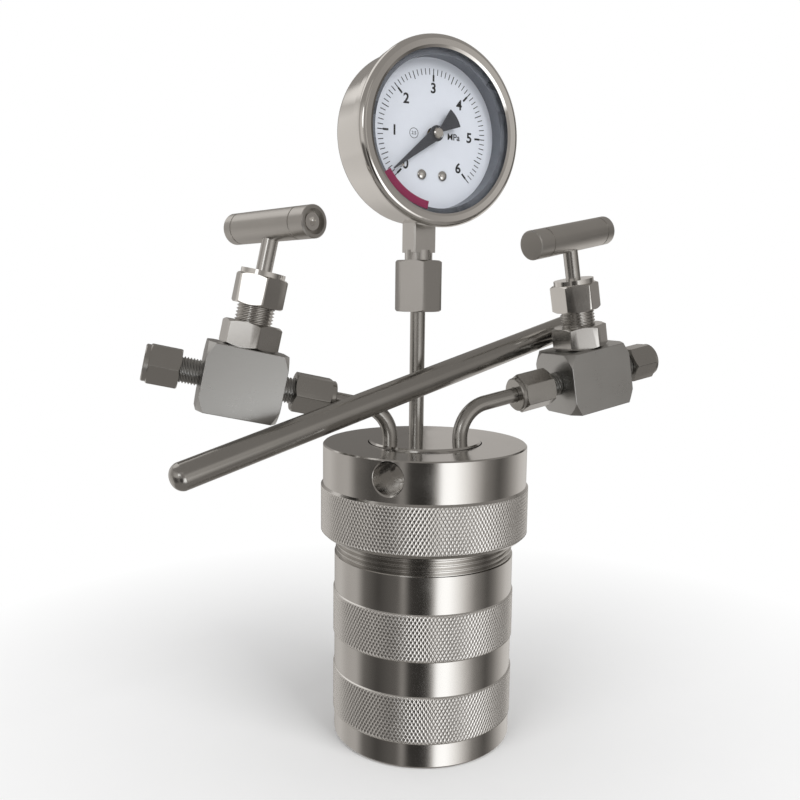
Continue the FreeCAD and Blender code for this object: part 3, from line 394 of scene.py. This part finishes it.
class Value:
    """Output of a shader node. Arithmetic on it adds Math nodes."""

    def __init__(self, tree, socket):
        self.tree = tree
        self.socket = socket

    def maths(self, operation, *others):
        """Result of a Math operation whose first operand is this value."""
        node = self.tree.add("ShaderNodeMath", {"operation": operation},
                             dict(enumerate((self, *others))))
        return Value(self.tree, node.outputs[0])

    def reflected(self, operation, other):
        """Result of a Math operation whose second operand is this value."""
        node = self.tree.add("ShaderNodeMath", {"operation": operation}, {0: other, 1: self})
        return Value(self.tree, node.outputs[0])

    def __add__(self, other):
        return self.maths("ADD", other)

    def __radd__(self, other):
        return self.reflected("ADD", other)

    def __sub__(self, other):
        return self.maths("SUBTRACT", other)

    def __rsub__(self, other):
        return self.reflected("SUBTRACT", other)

    def __mul__(self, other):
        return self.maths("MULTIPLY", other)

    def __truediv__(self, other):
        return self.maths("DIVIDE", other)

    def clamped(self):
        """This value kept between 0 and 1."""
        node = self.tree.add("ShaderNodeClamp", {}, {"Value": self})
        return Value(self.tree, node.outputs[0])


class Tree:
    """Node tree of a material or world, emptied and ready to fill."""

    def __init__(self, owner):
        owner.use_nodes = True
        self.nodes = owner.node_tree.nodes
        self.links = owner.node_tree.links
        self.nodes.clear()

    def add(self, kind, settings=None, inputs=None):
        """New node of a type, with its settings and then the values or links of its sockets."""
        node = self.nodes.new(kind)
        for name, value in (settings or {}).items():
            if name == "stops":
                self.fill_ramp(node.color_ramp, value)
            else:
                setattr(node, name, value)
        for name, value in (inputs or {}).items():
            socket = node.inputs[name]
            if isinstance(value, Value):
                self.links.new(value.socket, socket)
            elif isinstance(value, bpy.types.NodeSocket):
                self.links.new(value, socket)
            else:
                socket.default_value = value
        return node

    def value(self, kind, settings=None, inputs=None, output=0):
        """New node, as the value of one of its outputs."""
        return Value(self, self.add(kind, settings, inputs).outputs[output])

    def fill_ramp(self, ramp, stops):
        """Gives a colour ramp its (position, colour) stops."""
        while len(ramp.elements) > 1:
            ramp.elements.remove(ramp.elements[0])
        ramp.elements[0].position = stops[0][0]
        ramp.elements[0].color = (*stops[0][1], 1)
        for position, colour in stops[1:]:
            ramp.elements.new(position).color = (*colour, 1)

    def blend(self, factor, first, second):
        """Colour between two colours."""
        node = self.add("ShaderNodeMix", {"data_type": "RGBA"},
                        {0: factor, 6: first, 7: second})
        return node.outputs[2]


def rgba(colour, factor=1.0):
    """Opaque colour, made darker or lighter by a factor."""
    return (*(min(1.0, part * factor) for part in colour), 1.0)


def local_point(tree, place):
    """Object coordinates in millimetres in a frame of the piece's own."""
    coordinates = tree.add("ShaderNodeTexCoord").outputs["Object"]
    back = place.inverted()
    turned = tree.add("ShaderNodeMapping", {"vector_type": "POINT"}, {
        "Vector": coordinates, "Location": back.translation,
        "Rotation": back.to_euler(), "Scale": (1 / MM, 1 / MM, 1 / MM)})
    split = tree.add("ShaderNodeSeparateXYZ", {}, {0: turned.outputs[0]})
    return turned.outputs[0], [Value(tree, output) for output in split.outputs]


def radius_of(x, y):
    """Distance from the Z axis."""
    return (x * x + y * y).maths("SQRT")


def noise(tree, vector, scale, detail=2.0, roughness=0.5):
    """Noise between 0 and 1, with its scale in cycles a millimetre."""
    return tree.value("ShaderNodeTexNoise", {}, {
        "Vector": vector, "Scale": scale, "Detail": detail, "Roughness": roughness})


# How much the tool marks, clouds and speckles of steel change its tone and its roughness.
MARKS_TONE, MARKS_ROUGH = 0.22, 0.08
CLOUD_SCALE, CLOUD_DETAIL, CLOUD_ROUGH = 0.09, 3.0, 0.12
SPECKLE_SCALE, SPECKLE_TONE, SPECKLE_ROUGH = 1.3, 0.08, 0.04
DARKEST, LIGHTEST = 0.78, 1.2
MARKS_DETAIL, MARKS_GAIN, MARKS_BUMP = 3.0, 0.7, 0.6
ACROSS, ALONG = 5.0, 0.15       # tool marks a millimetre, across and along their run
# The knurl's grooves: where they start below the crest, and how fast their painted-sheen colour and their extra
# roughness come in, across the groove and at the bands' ends.
GROOVE_START = 0.03             # millimetres below the crest
GROOVE_RAMP, BAND_RAMP = 12.0, 6.0
GROOVE_ROUGH, BAND_ROUGH = 0.1, 0.03
KNURLED_STRETCH = 0.6           # how far the kettle's and the cap's highlights are stretched


def metal(name, colour, roughness, place, lines, anisotropy=0.0, relief=0.004, stain=0.12,
          grooves=None):
    """Steel with tool marks. lines gives the marks' coordinates from x, y and z. grooves, if
    any, is the knurl's groove colour, lighter as painted sheen, the crest's radius and the bands' heights."""
    material = bpy.data.materials.new(name)
    tree = Tree(material)
    point, (x, y, z) = local_point(tree, place)
    marks_at = tree.add("ShaderNodeCombineXYZ", {}, dict(enumerate(lines(x, y, z))))
    marks = noise(tree, marks_at.outputs[0], 1.0, MARKS_DETAIL, MARKS_GAIN) - 0.5
    cloud = noise(tree, point, CLOUD_SCALE, CLOUD_DETAIL) - 0.5
    speckle = noise(tree, point, SPECKLE_SCALE) - 0.5
    tone = marks * MARKS_TONE + cloud * stain * 2 + speckle * SPECKLE_TONE + 0.5
    base = tree.blend(tone.clamped(), rgba(colour, DARKEST), rgba(colour, LIGHTEST))
    rough = roughness + marks * MARKS_ROUGH + cloud * CLOUD_ROUGH + speckle * SPECKLE_ROUGH
    if grooves:
        groove_sheen_colour, crest, bands = grooves
        below = ((crest - GROOVE_START - radius_of(x, y)) * GROOVE_RAMP).clamped()
        inside = 0.0
        for low, high in bands:
            inside = (((z - low) * BAND_RAMP).clamped() * ((high - z) * BAND_RAMP).clamped()
                      + inside)
        groove = below * inside
        # Painted sheen: the knurl's grooves take the lighter knurl colour, standing in for the light their sloped
        # sides catch; the extra roughness below is the grooves' own.
        base = tree.blend(groove, base, rgba(groove_sheen_colour))
        rough = rough + groove * GROOVE_ROUGH + inside * BAND_ROUGH
    bump = tree.add("ShaderNodeBump", {}, {
        "Strength": MARKS_BUMP, "Distance": relief * MM, "Height": marks})
    shader = tree.add("ShaderNodeBsdfPrincipled", {}, {
        "Base Color": base, "Metallic": 1.0, "Roughness": rough.clamped(),
        "Anisotropic": anisotropy, "Normal": bump.outputs[0]})
    tree.add("ShaderNodeOutputMaterial", {}, {0: shader.outputs[0]})
    return material


def turned_lines(x, y, z):
    """Marks that run round the axis on a cylinder, and in circles on a face."""
    return radius_of(x, y) * ACROSS, z * ACROSS, 0.0


def brushed_lines(x, y, z):
    """Marks that run along X."""
    return x * ALONG, y * ACROSS, z * ACROSS


# Unevenness of paint and plastic.
PLAIN_SCALE = 0.4
GRAIN_SCALE = 4.8
GRAIN_ROUGH = 0.1
GRAIN_BUMP = 0.3
GRAIN_RELIEF = 0.01     # millimetres


def plain(name, colour, roughness, tone=0.1, **sockets):
    """Paint or plastic with a faint unevenness."""
    material = bpy.data.materials.new(name)
    tree = Tree(material)
    point, _ = local_point(tree, UPRIGHT)
    cloud = noise(tree, point, PLAIN_SCALE, CLOUD_DETAIL)
    grain = noise(tree, point, GRAIN_SCALE)
    base = tree.blend(cloud, rgba(colour, 1 - tone), rgba(colour, 1 + tone))
    bump = tree.add("ShaderNodeBump", {}, {
        "Strength": GRAIN_BUMP, "Distance": GRAIN_RELIEF * MM, "Height": grain})
    inputs = {"Base Color": base, "Normal": bump.outputs[0],
              "Roughness": (roughness + (grain - 0.5) * GRAIN_ROUGH).clamped()}
    inputs.update({key.replace("_", " "): value for key, value in sockets.items()})
    shader = tree.add("ShaderNodeBsdfPrincipled", {}, inputs)
    tree.add("ShaderNodeOutputMaterial", {}, {0: shader.outputs[0]})
    return material


def finish_of(name, make, *arguments, **settings):
    """The named finish, made the first time it is asked for."""
    if name not in FINISHES:
        FINISHES[name] = make(name, *arguments, **settings)
    return FINISHES[name]


def turned_steel(key, colour, roughness, place=UPRIGHT, **settings):
    """Steel turned about the Z axis of a frame."""
    return finish_of("turned_steel_" + key, metal, colour, roughness, place, turned_lines,
                     **settings)


def eased_nut(node, material):
    """Copy of a nut with eased edges, as a piece of the head."""
    mesh = cad_copy(node)
    ease_edges(mesh, NUT_EDGE)
    piece_from(mesh, node + "_eased", "head", material, [node],
               sharp=SHARP_EASED)


def paint(nodes, material):
    """Gives CAD nodes a material."""
    for node in nodes:
        slots = NODES[node].material_slots
        for slot in slots:
            slot.material = material
        if not slots:
            NODES[node].data.materials.append(material)


# ---------------------------------------------------------------- operators

def knurled_steel(key, finish, crest, bands):
    """Turned steel whose knurled bands have lighter grooves, painted sheen for the light the knurl catches."""
    return turned_steel(key, finish.steel, finish.steel_roughness, anisotropy=KNURLED_STRETCH,
                        grooves=(finish.knurl, crest, bands))


class REACTOR_OT_kettle(bpy.types.Operator):
    """Knurls the kettle's two bands and cuts its thread"""
    bl_idname = "reactor.kettle"
    bl_label = "Kettle"

    def execute(self, context):
        sizes = context.scene.reactor_sizes
        crest = BODY_R + BAND_PROUD
        mesh = cad_copy("kettle_body")
        for low, high in BODY_BANDS:
            cut_knurl(mesh, crest, low + BAND_EDGE, high - BAND_EDGE, sizes)
        cut_thread(mesh, UPRIGHT, THREAD_R, sizes.thread_depth, THREAD_LOW, THREAD_HIGH,
                   THREAD_PITCH, KETTLE_STEPS)
        steel = knurled_steel("kettle", context.scene.reactor_finish, crest, BODY_BANDS)
        piece_from(mesh, "kettle_shell", "kettle", steel, ["kettle_body"],
                   round_about=UPRIGHT)
        return {"FINISHED"}


class REACTOR_OT_cap(bpy.types.Operator):
    """Knurls the screw cap's skirt"""
    bl_idname = "reactor.cap"
    bl_label = "Screw cap"

    def execute(self, context):
        mesh = cad_copy("screw_cap")
        cut_knurl(mesh, CAP_KNURL_R, *CAP_KNURL, context.scene.reactor_sizes)
        steel = knurled_steel("cap", context.scene.reactor_finish, CAP_KNURL_R, [CAP_KNURL])
        piece_from(mesh, "knurled_cap", "cap", steel, ["screw_cap"],
                   round_about=UPRIGHT)
        return {"FINISHED"}


class REACTOR_OT_valves(bpy.types.Operator):
    """Cuts the threads of both needle valves and finishes their pieces"""
    bl_idname = "reactor.valves"
    bl_label = "Needle valves"

    STEM_ROUGHNESS = 0.2
    PIPING_ROUGHNESS = 0.24
    GRIP_ROUGHNESS = 0.34
    BRIGHT_ROUGHNESS = 0.12
    GROUND_ROUGHNESS = 0.3

    def execute(self, context):
        finish = context.scene.reactor_finish
        for side in SIDES:
            stem = valve_frame(side)
            flow = flow_frame(side)
            grip = long_axis_frame(side + "_handle")
            turned = turned_steel(side + "_stem", finish.steel, self.STEM_ROUGHNESS, stem)
            piping = turned_steel(side + "_flow", finish.tube, self.PIPING_ROUGHNESS, flow)
            brushed = turned_steel(side + "_grip", finish.grip, self.GRIP_ROUGHNESS, grip)
            bright = finish_of("bright_steel", metal, finish.polished, self.BRIGHT_ROUGHNESS,
                               stem, turned_lines)
            bonnet = cad_copy(side + "_bonnet")
            ease_edges(bonnet, NUT_EDGE)
            cut_thread(bonnet, stem, NECK_R, NECK_THREAD_DEPTH, *NECK, NECK_PITCH, NECK_STEPS)
            piece_from(bonnet, side + "_bonnet_cut", "head", turned,
                       [side + "_bonnet"], sharp=SHARP_EASED)
            block = cad_copy(side + "_block")
            ease_edges(block, BLOCK_EDGE)
            for end in (flow, flow @ Matrix.Rotation(math.pi, 4, "X")):
                cut_thread(block, end, NIPPLE_R, NIPPLE_THREAD_DEPTH, *NIPPLE, NIPPLE_PITCH,
                           NIPPLE_STEPS)
            ground = finish_of(side + "_ground_steel", metal, finish.ground,
                               self.GROUND_ROUGHNESS, stem, brushed_lines)
            piece_from(block, side + "_block_cut", "head", ground,
                       [side + "_block"], sharp=SHARP_EASED)
            eased_nut(side + "_gland_nut", bright)
            eased_nut(side + "_inner_nut", piping)
            eased_nut(side + "_outer_nut", piping)
            paint([side + "_stem", side + "_gland", side + "_needle"], turned)
            paint([side + "_inner_ferrule", side + "_outer_ferrule", side + "_tube"], piping)
            paint([side + "_handle"], brushed)
            paint([side + "_handle_screw"], bright)
        return {"FINISHED"}


class REACTOR_OT_gauge(bpy.types.Operator):
    """Prints the dial and finishes the gauge's pieces"""
    bl_idname = "reactor.gauge"
    bl_label = "Pressure gauge"

    # Millimetres from the dial's centre, and degrees from the dial's right.
    # A scale line is its inner end, its outer end and its width.
    MAJOR = (19.5, 21.9, 0.75)
    MIDDLE = (21.1, 24.2, 0.34)
    MINOR = (21.9, 24.2, 0.3)
    LINES_A_NUMBER = 10
    SCALE_START = 225
    SCALE_TURN = 270
    NUMERAL_R = 16.9
    NUMERAL_WEIGHT = 0.13
    # Text on the dial: its characters, height, X, Y, and how much it is thickened.
    UNIT = ("MPa", 3.4, 9.6, -0.3, 0.05)
    CLASS_PLACE = (-8.4, -0.2)
    CLASS = ("2.5", 1.7, *CLASS_PLACE, 0.02)
    CLASS_RING = (1.75, 1.95)
    RING_STEPS = 40
    SCREW_PLACE = (4.7, -15.3)
    SCREW_R = 2.1
    SCREW_HEAD = 1.1
    SCREW_STEPS = 32
    BAND_RADII = (26.2, 29.2)
    BAND_HEIGHTS = (14.65, 14.69)
    BAND_START = -146
    BAND_TURN = 45.5
    BAND_STEPS = 24

    POLISHED_ROUGHNESS = 0.08
    RISER_ROUGHNESS = 0.22
    TUBE_ROUGHNESS = 0.24
    BRASS_ROUGHNESS = 0.3
    DIAL_ROUGHNESS = 0.35
    PRINT_ROUGHNESS = 0.4
    GLASS_ROUGHNESS = 0.03
    GLASS_ALPHA = 0.012
    BRASS = (0.72, 0.55, 0.28)
    GLASS = (0.95, 0.97, 0.97)
    RING_GREY = (0.13, 0.14, 0.16)
    BAND_RED = (0.2, 0.014, 0.06)

    def ticks(self, mesh, full_scale):
        """Scale lines, each a thin bar turned to its place."""
        count = full_scale * self.LINES_A_NUMBER
        for index in range(count + 1):
            bars = [self.MIDDLE if index % (self.LINES_A_NUMBER // 2) == 0 else self.MINOR]
            if index % self.LINES_A_NUMBER == 0:
                bars.append(self.MAJOR)
            angle = math.radians(self.SCALE_START - self.SCALE_TURN * index / count)
            for inner, outer, width in bars:
                place = Matrix.Rotation(angle, 4, "Z") @ Matrix.Translation(
                    ((inner + outer) / 2, 0, DIAL_FACE + MARK_HEIGHT / 2)) @ Matrix.Diagonal(
                    (outer - inner, width, MARK_HEIGHT, 1))
                bmesh.ops.create_cube(mesh, size=1, matrix=place)

    def lettering(self, mesh, text, size, x, y, weight):
        """Adds raised characters, centred on a point of the dial."""
        curve = bpy.data.curves.new("characters", "FONT")
        curve.body = text
        curve.size = size
        curve.align_x = "CENTER"
        curve.align_y = "CENTER"
        curve.extrude = MARK_HEIGHT / 2
        curve.offset = weight
        holder = bpy.data.objects.new("characters", curve)
        shape = bpy.data.meshes.new_from_object(holder)
        shape.transform(Matrix.Translation((x, y, DIAL_FACE + MARK_HEIGHT / 2)))
        mesh.from_mesh(shape)
        bpy.data.meshes.remove(shape)
        bpy.data.objects.remove(holder)
        bpy.data.curves.remove(curve)

    def markings(self, place, material, sizes):
        """Scale, numbers, unit and accuracy class, printed on the dial."""
        marks = bmesh.new()
        self.ticks(marks, sizes.full_scale)
        for number in range(sizes.full_scale + 1):
            angle = math.radians(self.SCALE_START
                                 - self.SCALE_TURN * number / sizes.full_scale)
            self.lettering(marks, str(number), sizes.numeral_height,
                           self.NUMERAL_R * math.cos(angle), self.NUMERAL_R * math.sin(angle),
                           self.NUMERAL_WEIGHT)
        self.lettering(marks, *self.UNIT)
        self.lettering(marks, *self.CLASS)
        join_into(marks, spun(box_section(self.CLASS_RING, (0, MARK_HEIGHT)), self.RING_STEPS),
                  Matrix.Translation((*self.CLASS_PLACE, DIAL_FACE)))
        bmesh.ops.transform(marks, matrix=place, verts=marks.verts)
        piece_from(marks, "dial_markings", "head", material)

    def limit_band(self, place):
        """Red strip printed on the back of the window, near its rim."""
        strip = bmesh.new()
        verts, edges = chain(strip, box_section(self.BAND_RADII, self.BAND_HEIGHTS))
        bmesh.ops.spin(strip, geom=verts + edges, cent=(0, 0, 0), axis=(0, 0, 1),
                       angle=math.radians(self.BAND_TURN), steps=self.BAND_STEPS,
                       use_merge=False)
        bmesh.ops.remove_doubles(strip, verts=strip.verts, dist=MERGE)
        bmesh.ops.holes_fill(strip, edges=strip.edges)
        bmesh.ops.recalc_face_normals(strip, faces=strip.faces)
        turn = Matrix.Rotation(math.radians(self.BAND_START), 4, "Z")
        bmesh.ops.transform(strip, matrix=place @ turn, verts=strip.verts)
        piece_from(strip, "limit_band", "head",
                   finish_of("limit_red", plain, self.BAND_RED, self.PRINT_ROUGHNESS))

    def screw_heads(self, place, material):
        """Domed heads of the two screws that hold the dial."""
        domes = bmesh.new()
        profile = [(0, 0)] + [
            (self.SCREW_R * math.cos(math.radians(angle)),
             self.SCREW_HEAD * math.sin(math.radians(angle))) for angle in range(0, 91, 15)]
        for x in (-self.SCREW_PLACE[0], self.SCREW_PLACE[0]):
            join_into(domes, spun(profile, self.SCREW_STEPS),
                      Matrix.Translation((x, self.SCREW_PLACE[1], DIAL_FACE)))
        bmesh.ops.transform(domes, matrix=place, verts=domes.verts)
        piece_from(domes, "domed_screws", "head", material, ["dial_screws"])

    def execute(self, context):
        finish = context.scene.reactor_finish
        place = gauge_frame()
        black = finish_of("marking_black", plain, finish.marking, self.PRINT_ROUGHNESS)
        self.markings(place, black, context.scene.reactor_sizes)
        self.limit_band(place)
        polished = finish_of("polished_steel", metal, finish.polished, self.POLISHED_ROUGHNESS,
                             place, turned_lines, relief=0.001, stain=0.05)
        paint(["gauge_case", "gauge_bezel", "pointer_hub", "stop_pin"], polished)
        self.screw_heads(place, polished)
        paint(["gauge_dial"],
              finish_of("dial_paint", plain, finish.dial, self.DIAL_ROUGHNESS, tone=0.02))
        paint(["pointer"],
              finish_of("pointer_black", plain, finish.pointer, self.DIAL_ROUGHNESS))
        paint(["window_ring"],
              finish_of("ring_grey", plain, self.RING_GREY, self.PRINT_ROUGHNESS))
        paint(["gauge_window"],
              finish_of("window_glass", plain, self.GLASS, self.GLASS_ROUGHNESS, tone=0.01,
                        Alpha=self.GLASS_ALPHA, Metallic=1.0))
        paint(["movement_frame", "sector_gear", "pinion_shaft", "tip_link", "bourdon_tube"],
              finish_of("movement_brass", metal, self.BRASS, self.BRASS_ROUGHNESS, place,
                        brushed_lines))
        upright = Matrix.Translation((place.translation.x, place.translation.y, 0))
        riser = turned_steel("riser", finish.steel, self.RISER_ROUGHNESS, upright)
        eased_nut("gauge_nut", riser)
        paint(["gauge_socket"], riser)
        paint(["gauge_tube"],
              turned_steel("riser_tube", finish.tube, self.TUBE_ROUGHNESS, upright))
        return {"FINISHED"}


class REACTOR_OT_rest(bpy.types.Operator):
    """Finishes the lid, the liner, the seals and the tommy bar"""
    bl_idname = "reactor.rest"
    bl_label = "Lid, liner and bar"

    LID_ROUGHNESS = 0.12
    BAR_ROUGHNESS = 0.2
    PTFE_ROUGHNESS = 0.45
    PTFE_WHITE = (0.86, 0.86, 0.84)

    def execute(self, context):
        finish = context.scene.reactor_finish
        paint(["steel_lid", "slip_washer"],
              turned_steel("lid", finish.steel, self.LID_ROUGHNESS))
        paint(["ptfe_liner", "ptfe_cover", "gauge_washer", "left_packing", "right_packing"],
              finish_of("white_ptfe", plain, self.PTFE_WHITE, self.PTFE_ROUGHNESS))
        paint(["tommy_bar"],
              turned_steel("bar", finish.tube, self.BAR_ROUGHNESS,
                           long_axis_frame("tommy_bar")))
        return {"FINISHED"}


class REACTOR_OT_stage(bpy.types.Operator):
    """Sets up the floor, the studio light and the camera"""
    bl_idname = "reactor.stage"
    bl_label = "Stage"

    # Millimetres and degrees.
    CAMERA_AT = (-122.9, -318.2, 178.0)
    YAW = 19.44
    PITCH = 7.39
    ROLL = 0.67
    FOCAL_LENGTH = 39.5
    SENSOR_WIDTH = 36
    NEAREST = 10
    PAPER_FROM = 60         # where the floor starts to fade into the white background
    PAPER_FADE = 200
    PAPER_TONES = (0.93, 0.95)
    PAPER_SCALE = 0.05
    PAPER_ROUGHNESS = 0.9
    # Metres and watts.
    FLOOR_R = 4.0
    FLOOR_DROP = 0.0001
    AIM = (0, 0, 0.13)
    KEY_LAMP = ("key_lamp", (0.5, -1.1, 1.0), 0.8, 11)
    FILL_LAMP = ("fill_lamp", (-0.9, -0.6, 0.9), 0.7, 5)
    FILL = 0.5
    # The room that the metal mirrors: degrees to the right of the camera's own side, then the
    # brightness at bench height and at eye height, each as a share of ROOM_PEAK.
    ROOM_PEAK = 1.75
    ROOM = ((-180, 0.24, 0.11), (-160, 0.28, 0.12), (-145, 0.36, 0.24), (-130, 0.40, 0.44),
            (-112, 0.32, 0.34), (-92, 0.34, 0.22), (-80, 0.11, 0.22), (-58, 0.045, 0.34),
            (-42, 0.075, 0.36), (-30, 0.09, 0.34), (-24, 0.24, 0.30), (-16, 0.03, 0.24),
            (0, 0.025, 0.18), (9, 0.05, 0.16), (14, 0.30, 0.18), (20, 0.98, 0.24),
            (33, 1.0, 0.34), (45, 0.74, 0.34), (58, 0.42, 0.28), (70, 0.17, 0.20),
            (90, 0.06, 0.15), (102, 0.13, 0.07), (116, 0.28, 0.06), (132, 0.42, 0.17),
            (150, 0.44, 0.24), (166, 0.34, 0.30))
    CEILING = 0.17
    BENCH = 0.16
    DARK_TINT = (1, 0.93, 0.86)
    # Rise of the view where one level of the room gives way to the next, and how fast.
    EYE_LEVEL = (-0.17, 16.0)
    CEILING_LEVEL = (0.28, 5.0)
    BENCH_LEVEL = (-0.56, 8.0)
    PANEL_EDGE = 6.0
    # Soft panels in the room: degrees to the right, degrees up, radius in degrees, brightness.
    PANELS = ((-22, 14, 9, 1.0), (-122, 46, 24, 0.5), (2, 30, 10, 0.24))

    def camera(self, context):
        """Camera at bench height, a little to the left."""
        yaw, pitch, roll = (math.radians(v) for v in (self.YAW, self.PITCH, self.ROLL))
        forward = Vector((math.sin(yaw) * math.cos(pitch), math.cos(yaw) * math.cos(pitch),
                          -math.sin(pitch)))
        right = Vector((math.cos(yaw), -math.sin(yaw), 0))
        up = right.cross(forward)
        rolled = right * math.cos(roll) + up * math.sin(roll)
        data = bpy.data.cameras.new("camera")
        data.lens = self.FOCAL_LENGTH
        data.sensor_width = self.SENSOR_WIDTH
        data.clip_start = self.NEAREST * MM
        camera = bpy.data.objects.new("camera", data)
        camera.matrix_world = frame_matrix(Vector(self.CAMERA_AT) * MM, rolled, -forward)
        context.scene.collection.objects.link(camera)
        context.scene.camera = camera

    def floor(self, context):
        """Sheet of pale paper that keeps the shadow and fades out round it."""
        mesh = bmesh.new()
        bmesh.ops.create_circle(mesh, cap_ends=True, segments=96, radius=self.FLOOR_R)
        bmesh.ops.translate(mesh, vec=(0, 0, -self.FLOOR_DROP), verts=mesh.verts)
        data = bpy.data.meshes.new("floor")
        mesh.to_mesh(data)
        mesh.free()
        material = bpy.data.materials.new("floor_paper")
        tree = Tree(material)
        point, (x, y, _) = local_point(tree, UPRIGHT)
        dark, light = ((tone, tone, tone, 1) for tone in self.PAPER_TONES)
        paper = tree.add("ShaderNodeBsdfPrincipled", {}, {
            "Base Color": tree.blend(noise(tree, point, self.PAPER_SCALE), dark, light),
            "Roughness": self.PAPER_ROUGHNESS})
        glow = tree.add("ShaderNodeEmission", {}, {"Color": (1, 1, 1, 1), "Strength": 1.0})
        away = ((radius_of(x, y) - self.PAPER_FROM) / self.PAPER_FADE).clamped()
        seen = tree.value("ShaderNodeLightPath", output="Is Camera Ray")
        mix = tree.add("ShaderNodeMixShader", {}, {
            0: away * seen, 1: paper.outputs[0], 2: glow.outputs[0]})
        tree.add("ShaderNodeOutputMaterial", {}, {0: mix.outputs[0]})
        data.materials.append(material)
        floor = bpy.data.objects.new("floor", data)
        floor.visible_glossy = False
        context.scene.collection.objects.link(floor)

    def step_up(self, z, level):
        """0 below a level of the room and 1 above it, with a soft change between."""
        height, speed = level
        return ((z - height) * speed).clamped()

    def room(self, context):
        """World that lights the object evenly, shows white and mirrors as a room."""
        world = bpy.data.worlds.new("studio")
        context.scene.world = world
        tree = Tree(world)
        direction = tree.add("ShaderNodeTexCoord").outputs["Generated"]
        split = tree.add("ShaderNodeSeparateXYZ", {}, {0: direction})
        x, y, z = [Value(tree, output) for output in split.outputs]
        camera_side = math.degrees(math.atan2(self.CAMERA_AT[1], self.CAMERA_AT[0]))
        bearing = (y.maths("ARCTAN2", x) / math.tau + (180 - camera_side) / 360).maths("FRACT")
        low, middle = [tree.add("ShaderNodeValToRGB", {"stops": [
            ((row[0] + 180) / 360, self.warm(row[column])[:3]) for row in self.ROOM]},
            {0: bearing}).outputs[0] for column in (1, 2)]
        room = tree.blend(self.step_up(z, self.EYE_LEVEL), low, middle)
        room = tree.blend(self.step_up(z, self.CEILING_LEVEL), room, self.warm(self.CEILING))
        height, speed = self.BENCH_LEVEL
        room = tree.blend(((height - z) * speed).clamped(), room, self.warm(self.BENCH))
        for right, up, radius, level in self.PANELS:
            side, rise = math.radians(camera_side + right), math.radians(up)
            facing = (x * math.cos(side) * math.cos(rise) + y * math.sin(side) * math.cos(rise)
                      + z * math.sin(rise))
            edge = math.cos(math.radians(radius))
            inside = ((facing - edge) * self.PANEL_EDGE / (1 - edge)).clamped()
            room = tree.blend(inside, room, self.warm(level))
        path = tree.add("ShaderNodeLightPath")
        glossy = Value(tree, path.outputs["Is Glossy Ray"])
        camera = Value(tree, path.outputs["Is Camera Ray"])
        through = Value(tree, path.outputs["Is Transmission Ray"])
        background = tree.blend(glossy, (1, 1, 1, 1), room)
        shown = (camera + through + glossy).clamped()
        colour = tree.blend(shown, (self.FILL, self.FILL, self.FILL, 1), background)
        strength = 1.0 + glossy * (self.ROOM_PEAK - 1.0)
        ground = tree.add("ShaderNodeBackground", {}, {"Color": colour, "Strength": strength})
        tree.add("ShaderNodeOutputWorld", {}, {0: ground.outputs[0]})

    def warm(self, level):
        """Dark parts of the room are a little warmer than its lit parts."""
        return (*(level * (tint + (1 - tint) * level) for tint in self.DARK_TINT), 1)

    def lamp(self, context, name, place, size, power):
        """Square lamp aimed at the object, which metal doesn't mirror."""
        data = bpy.data.lights.new(name, "AREA")
        data.shape = "SQUARE"
        data.size = size
        data.energy = power
        lamp = bpy.data.objects.new(name, data)
        place = Vector(place)
        aim = Vector(self.AIM) - place
        lamp.matrix_world = Matrix.Translation(place) @ aim.to_track_quat(
            "-Z", "Y").to_matrix().to_4x4()
        lamp.visible_glossy = False
        context.scene.collection.objects.link(lamp)

    def execute(self, context):
        context.scene.view_settings.view_transform = "Standard"
        self.camera(context)
        self.floor(context)
        self.room(context)
        self.lamp(context, *self.KEY_LAMP)
        self.lamp(context, *self.FILL_LAMP)
        return {"FINISHED"}


class REACTOR_PT_panel(bpy.types.Panel):
    """Lists the steps that finish the reactor"""
    bl_idname = "REACTOR_PT_panel"
    bl_label = "Hydrothermal reactor"
    bl_space_type = "VIEW_3D"
    bl_region_type = "UI"
    bl_category = "Reactor"

    def draw(self, context):
        for group in (context.scene.reactor_sizes, context.scene.reactor_finish):
            for name in group.__annotations__:
                self.layout.prop(group, name)
        for step in STEPS:
            self.layout.operator(step.bl_idname)


STEPS = (REACTOR_OT_kettle, REACTOR_OT_cap, REACTOR_OT_valves, REACTOR_OT_gauge,
         REACTOR_OT_rest, REACTOR_OT_stage)
CLASSES = (ReactorSizes, ReactorFinish, *STEPS, REACTOR_PT_panel)


def register():
    for item in CLASSES:
        bpy.utils.register_class(item)
    bpy.types.Scene.reactor_sizes = PointerProperty(type=ReactorSizes)
    bpy.types.Scene.reactor_finish = PointerProperty(type=ReactorFinish)


def unregister():
    del bpy.types.Scene.reactor_finish
    del bpy.types.Scene.reactor_sizes
    for item in reversed(CLASSES):
        bpy.utils.unregister_class(item)


def main():
    register()
    bpy.ops.reactor.stage()
    bpy.ops.reactor.kettle()
    bpy.ops.reactor.cap()
    bpy.ops.reactor.valves()
    bpy.ops.reactor.gauge()
    bpy.ops.reactor.rest()


if __name__ == "__main__":
    main()
